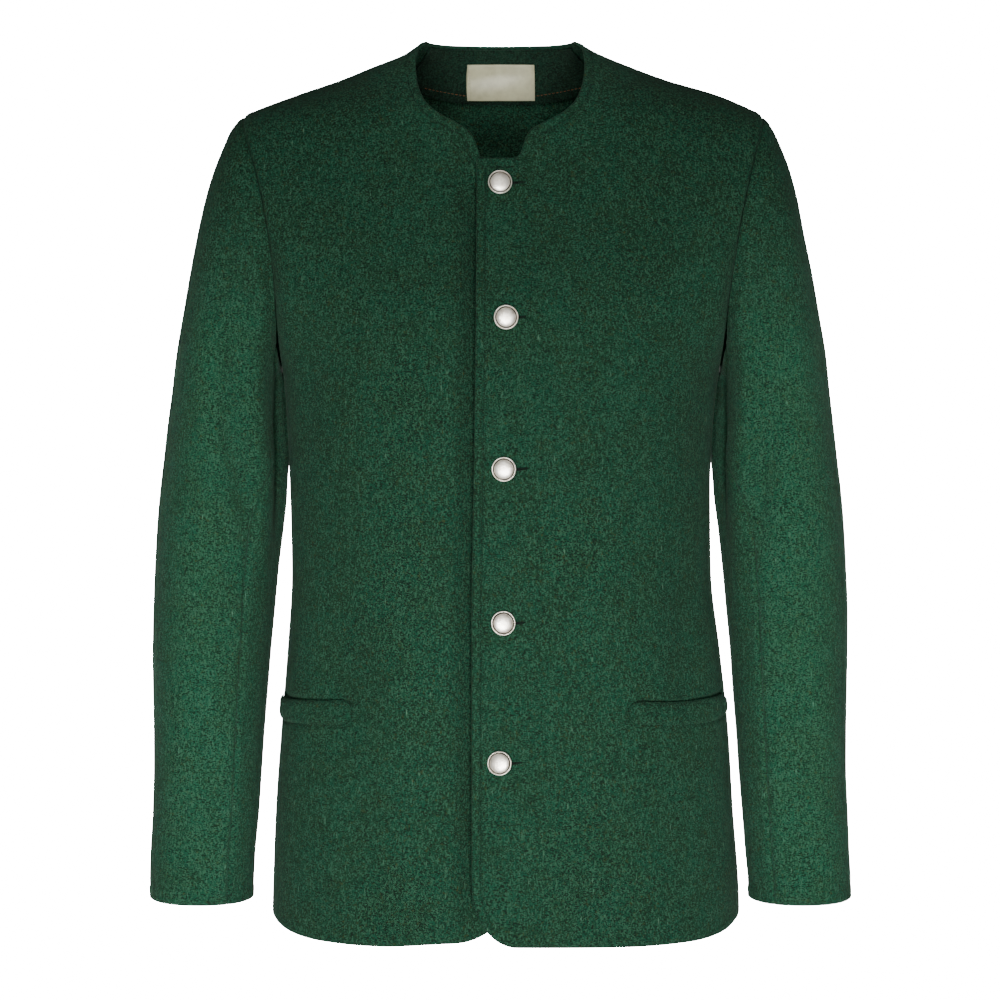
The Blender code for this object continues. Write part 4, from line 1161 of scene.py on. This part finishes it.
# The neck is backed inside by a shaped facing of thinner wool, coloured darker than the body's wool
# as painted shade inside the neck, and a woven satin label, bare here, is sewn to it.
FACING_DEPTH = 47.0
FACING_HALF_WIDE = 76.0
FACING_END_RISE = 10.0
FACING_END_ANGLE = 112.0
FACING_EDGE = 1.5
FACING_GAP = 1.7
FACING_THICK = 1.2
LABEL_WIDE = 61.0
LABEL_HIGH = 29.5
LABEL_THICK = 1.0
LABEL_TOP_Z = -0.5
LABEL_STITCH_MM = 2.4
FACING_SEAM_Z = -29.0
FACING_SEAM_RISE = 9.6
FACING_SEAM_HALF_WIDE = 72.0
FACING_STITCH_MM = 3.4
FACING_STITCH_GAP = 0.7
FACING_STITCH_RADIUS = 0.4

# Darker colours than WOOL's: painted shade inside the neck.
FACING_WOOL_PAINTED_SHADE = boiled_wool("facing_wool", ("020c06", "071b11", "041f14", "121d0a", "12271b", "25382c"))


def satin_material():
    made, tree, shader = new_material("woven_satin", 0.42)
    place = add_node(tree, "ShaderNodeTexCoord").outputs["Object"]
    tone = noise_between(tree, place, 9.0, 0.35, 0.7, 2.0, 3.0)
    tree.links.new(mix_colour(tree, tone, "959376", "878569"), shader.inputs["Base Color"])
    return made


def inside_sheet(degrees, z, depth):
    """Points on the back's inside, this deep below its outer surface, for angles past 180 too."""
    side_angle = np.where(degrees > 180, 360 - degrees, degrees)
    depth = np.asarray(depth)[..., None]
    left = body_ring(side_angle, z, "left") - depth * body_normal(side_angle, z, "left")
    right = body_ring(side_angle, z, "right") - depth * body_normal(side_angle, z, "right")
    return np.where(degrees[..., None] > 180, mirrored(right, "right"), left)


def make_facing():
    """The facing's top follows the neck edge. Its foot is given by the distance across, rising to
    the ends."""
    share = np.linspace(-1, 1, 121)
    away = np.abs(share)
    top_angle = 180 - (180 - FACING_END_ANGLE) * away
    foot_z = RIM_Z - FACING_DEPTH + FACING_END_RISE * away ** 3
    foot_angle = 180 - body_angle(FACING_HALF_WIDE * away, foot_z, "left")
    up = np.linspace(0, 1, 41)[:, None]
    degrees = foot_angle + (top_angle - foot_angle) * up
    z = foot_z + (RIM_Z - FACING_EDGE - foot_z) * up
    degrees = np.where(share < 0, degrees, 360 - degrees)
    near = CLOTH + FACING_GAP
    outer = inside_sheet(degrees, z, near)
    inner = inside_sheet(degrees, z, near + FACING_THICK)
    piece = cloth_piece("neck_facing", outer, inner, 0 * outer, FACING_WOOL_PAINTED_SHADE)
    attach(piece, "root")
    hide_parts("back_neck_facing")
    return piece


def make_label():
    near = CLOTH + FACING_GAP + FACING_THICK + LAID_GAP
    across = np.linspace(-LABEL_WIDE / 2, LABEL_WIDE / 2, 161)[None]
    z = np.linspace(LABEL_TOP_Z - LABEL_HIGH, LABEL_TOP_Z, 81)[:, None] + 0 * across
    degrees = 180 + body_angle(across, z, "left")
    from_end = LABEL_WIDE / 2 - np.abs(across) + 0 * z
    dip = 0.45 * bell((from_end - LABEL_STITCH_MM) / 0.9) * (0.7 + 0.3 * np.cos(z * 2 * np.pi / 2.4))
    wave = 0.25 * np.sin(z / 4.1 + across / 13.0) * ease(from_end / 8)
    lift = 0.5 * ease((from_end - 4) / 10) - dip + wave
    outer = inside_sheet(degrees, z, near)
    inner = inside_sheet(degrees, z, near + LABEL_THICK + lift)
    piece = cloth_piece("neck_label", outer, inner, 0 * outer, satin_material())
    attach(piece, "root")
    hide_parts("label")
    return piece


def make_facing_stitches():
    """The rust-coloured seam that holds the facing, above its foot."""
    away = np.linspace(-1, 1, 201)
    z = FACING_SEAM_Z + FACING_SEAM_RISE * np.abs(away) ** 1.6
    degrees = 180 + body_angle(FACING_SEAM_HALF_WIDE * away, z, "left")
    deep = CLOTH + FACING_GAP + FACING_THICK
    line = inside_sheet(degrees, z, deep + 0.15)
    inwards = unit(line - inside_sheet(degrees, z, deep - 1.0))
    paths, normals = stitch_paths(line, inwards, FACING_STITCH_MM, FACING_STITCH_GAP, 0.4)
    return threads("facing_stitches", paths, normals, FACING_STITCH_RADIUS,
                   sewing_thread("rust_sewing_thread", "3a2413", "5d3d22"))


neck_facing = make_facing()
neck_label = make_label()
facing_stitches = make_facing_stitches()


# The welts themselves, on the fronts. Their top edge stands away where the mouth gapes.
WELT_TOP_BULGE = 0.5
WELT_FOOT_BULGE = 0.3


def make_welt(side):
    first, last = WELT_ANGLES[side]
    along = np.linspace(0, 1, 121)[None]
    up = np.linspace(0, 1, 41)[:, None]
    top = look(WELT_LINES[side], "top", along)
    foot = look(WELT_LINES[side], "foot", along)
    z = foot + (top - foot) * up
    from_end = np.minimum(z - foot, top - z)
    inset = WELT_ROUND - np.sqrt(WELT_ROUND ** 2 - np.maximum(WELT_ROUND - from_end, 0) ** 2)
    inset = np.degrees(inset / ROUND_BODY_MM)
    degrees = first + inset + (last - first - 2 * inset) * along
    under = body_ring(degrees, z, side)
    normal = body_normal(degrees, z, side)
    gape = WELT_GAPE * ease((along - 0.4) / 0.4) * ease((1.02 - along) / 0.14) * ease(up) ** 2
    under = under + normal * (body_crease(under, side) + LAID_GAP + gape)[..., None]
    _, outside, _, _ = welt_place(degrees, z, side)
    inside = np.clip(1 + outside / 3.5, 0, 1)
    thick = WELT_THICK * (0.15 + 0.85 * np.sqrt(1 - inside ** 2)) * (1 - WELT_CROWN * (2 * up - 1) ** 4)
    outer = under + normal * thick[..., None]
    swell = np.zeros_like(outer)
    swell[-1] -= into_piece(under, normal, "last row") * WELT_TOP_BULGE
    swell[0] -= into_piece(under, normal, "first row") * WELT_FOOT_BULGE
    piece = cloth_piece("welt_" + side, mirrored(outer, side), mirrored(under, side),
                        mirrored(swell, side), WOOL)
    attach(piece, "root")
    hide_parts("pocket_welt_" + side)
    return piece


welts = {side: make_welt(side) for side in ("left", "right")}


# Buttons. Domed metal with a raised rim, cast in white metal, silvered, darkened and polished back
# so that the groove stays dark. They are sewn to the under-front through a shank.
BUTTONS = columns("across height tilt_across tilt_up", (
    (0.0, -116.0, 0.02, -0.10),
    (4.9, -228.9, 0.03, -0.05),
    (3.3, -353.8, -0.06, 0.03),
    (2.5, -480.4, 0.05, 0.02),
    (0.0, -595.4, -0.16, 0.04)))
BUTTON_RADIUS = 10.1
RIM_HIGH = 2.7
GROOVE_RADIUS = 8.9
GROOVE_HIGH = 1.5
DOME_RADIUS = 8.4
DOME_HIGH = 4.4
SHANK_HIGH = 1.2
DISC_SIDES = 96
SHARP_ANGLE = 50


def antique_silver():
    """The "tarnish" of each point, from 0 to 1, turns the polished silver to a brown tarnish: real in the
    hollows, and painted shade on the upper side of each button.
    """
    made, tree, shader = new_material("antique_silver", 0.36, 1.0)
    place = add_node(tree, "ShaderNodeTexCoord").outputs["Object"]
    tone = noise_between(tree, place, 3.0, 0.35, 0.75, 3.0, 2.0)
    metal = mix_colour(tree, tone, "fbf6ea", "dcd1c0")
    patina_and_top_shade = add_node(tree, "ShaderNodeAttribute", {"attribute_name": "tarnish"}).outputs["Fac"]
    tree.links.new(mix_colour(tree, patina_and_top_shade, metal, "2a1c16"), shader.inputs["Base Color"])
    rough = add_node(tree, "ShaderNodeMapRange", links={"Value": patina_and_top_shade},
                     values={"To Min": 0.42, "To Max": 0.75})
    tree.links.new(rough.outputs["Result"], shader.inputs["Roughness"])
    return made


def metal_disc(name, profile, tarnish, centre, side_way, up_way, normal, finish):
    """A profile of (radius, height) turned about the normal, with its tarnish at each point and painted
    shade added on its upper side.
    """
    turns = full_turn(DISC_SIDES)
    round_way = np.cos(turns)[:, None] * side_way + np.sin(turns)[:, None] * up_way
    points = centre + profile[:, None, :1] * round_way[None] + profile[:, None, 1:] * normal
    rows, count = points.shape[:2]
    number = np.arange(rows * count).reshape(rows, count)
    onward = np.roll(number, -1, axis=1)
    faces = np.stack([number[:-1], onward[:-1], onward[1:], number[1:]], axis=-1).reshape(-1, 4)
    faces = faces.tolist() + [number[0, ::-1].tolist(), number[-1].tolist()]
    mesh = bpy.data.meshes.new(name)
    mesh.from_pydata((points.reshape(-1, 3) * MM).tolist(), [], faces)
    # Painted shade: up to 0.2 more tarnish towards the upper side of each button.
    top = np.sin(turns)[None] * profile[:, :1] / BUTTON_RADIUS
    tarnish_and_top_shade = np.clip(tarnish[:, None] + 0.2 * ease((top - 0.1) / 0.5), 0, 1)
    mesh.attributes.new("tarnish", "FLOAT", "POINT").data.foreach_set("value", tarnish_and_top_shade.ravel())
    piece = finished(name, mesh, finish)
    mesh.set_sharp_from_angle(angle=math.radians(SHARP_ANGLE))
    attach(piece, "root")
    return piece


def button_seat(across, height):
    """Point and normal of the over-front where a button or buttonhole lies."""
    across, height = np.atleast_1d(across), np.atleast_1d(height)
    degrees = body_angle(across, height, "left")
    seat = body_ring(degrees, height, "left")
    normal = body_normal(degrees, height, "left")
    return seat + normal * body_crease(seat, "left")[..., None], normal


def make_button(index, finish):
    """The profile from the middle of the back over rim, groove and dome, tilted as its thread lets
    it lie."""
    seat, normal = button_seat(BUTTONS["across"][index], BUTTONS["height"][index])
    normal = unit(normal[0] + [BUTTONS["tilt_across"][index], 0, BUTTONS["tilt_up"][index]])
    half = np.radians(np.linspace(0, 180, 15))
    rim = np.stack([(BUTTON_RADIUS + GROOVE_RADIUS) / 2 + (BUTTON_RADIUS - GROOVE_RADIUS) / 2 * np.cos(half),
                    GROOVE_HIGH + (RIM_HIGH - GROOVE_HIGH) * np.sin(half)], axis=-1)
    floor = np.array([(GROOVE_RADIUS - 0.25, GROOVE_HIGH - 0.5), (DOME_RADIUS + 0.1, GROOVE_HIGH - 0.4)])
    turn = np.radians(np.linspace(84, 0, 26))
    dome = np.stack([DOME_RADIUS * np.sin(turn) ** 0.85,
                     GROOVE_HIGH + (DOME_HIGH - GROOVE_HIGH) * np.cos(turn)], axis=-1)
    back = np.array([(0.01, 0.0), (BUTTON_RADIUS - 1.2, 0.0), (BUTTON_RADIUS - 0.3, 0.4)])
    profile = np.concatenate((back, rim, floor, dome))
    profile[-1, 0] = 0.01
    tarnish = np.concatenate((
        np.full(len(back), 0.6), 0.03 + 0.5 * ease((np.degrees(half) - 120) / 60), np.full(2, 1.0),
        0.04 + 0.9 * ease((np.degrees(turn) - 62) / 20)))
    side_way = unit(np.cross([0.0, 0.0, 1.0], normal))
    piece = metal_disc("metal_button_" + str(index + 1), profile, tarnish, seat[0] + normal * SHANK_HIGH,
                       side_way, np.cross(normal, side_way), normal, finish)
    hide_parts("button_" + str(index + 1))


SILVER = antique_silver()
for index in range(len(BUTTONS["across"])):
    make_button(index, SILVER)


# Buttonholes. From each button a slit runs towards the side, pulled open by the shank beside the
# button and closed further on, with a whipped lip along both sides and a gap between them, whose
# shade is painted as near-black threads.
# HOLE_END is how far from the middle each one ends.
HOLE_END = np.array([21.6, 21.5, 24.0, 20.8, 17.9])
HOLE_RISE = 1.2
HOLE_DROP = 0.4
LIP_RADIUS = 0.55
GAP_RADIUS = 0.62


def make_buttonholes():
    """The two lips of each hole, which meet at its end, as one mesh of threads."""
    share = np.linspace(0, 1, 15)
    paths, normals = [], []
    for index, end in enumerate(HOLE_END):
        start = BUTTONS["across"][index] + BUTTON_RADIUS - 2.0
        across = start + (end - start) * share
        middle = BUTTONS["height"][index] + HOLE_RISE * share - HOLE_DROP
        open_by = 0.45 + 0.75 * (1 - share) ** 2
        for way in (-1, 1):
            place, normal = button_seat(across, middle + way * open_by * (1 - ease((share - 0.9) / 0.1)))
            paths.append(place + normal * 0.15)
            normals.append(normal)
    return threads("buttonhole_lips", np.array(paths), np.array(normals), LIP_RADIUS, GREEN_THREAD)


def make_slit_shade_threads():
    """Painted shade in each slit's gap beside its button: two near-black threads that run together."""
    share = np.linspace(0, 1, 12)
    fade = (1 - share) ** 1.2
    paths, normals = [], []
    for index, end in enumerate(HOLE_END):
        start = BUTTONS["across"][index] + BUTTON_RADIUS - 2.5
        reach = start + (end - start) * 0.55 * share
        middle = BUTTONS["height"][index] - HOLE_DROP + HOLE_RISE * 0.5 * share
        for level in (-0.35, 0.35):
            place, normal = button_seat(reach, middle + level * fade)
            paths.append(place + normal * 0.05)
            normals.append(normal)
    # Near-black thread colour: painted shade in the slit's gap.
    return threads("buttonhole_slit_painted_shade", np.array(paths), np.array(normals), GAP_RADIUS,
                   sewing_thread("painted_slit_shade", "010302", "020604"))


buttonholes = make_buttonholes()
slit_shade_threads = make_slit_shade_threads()
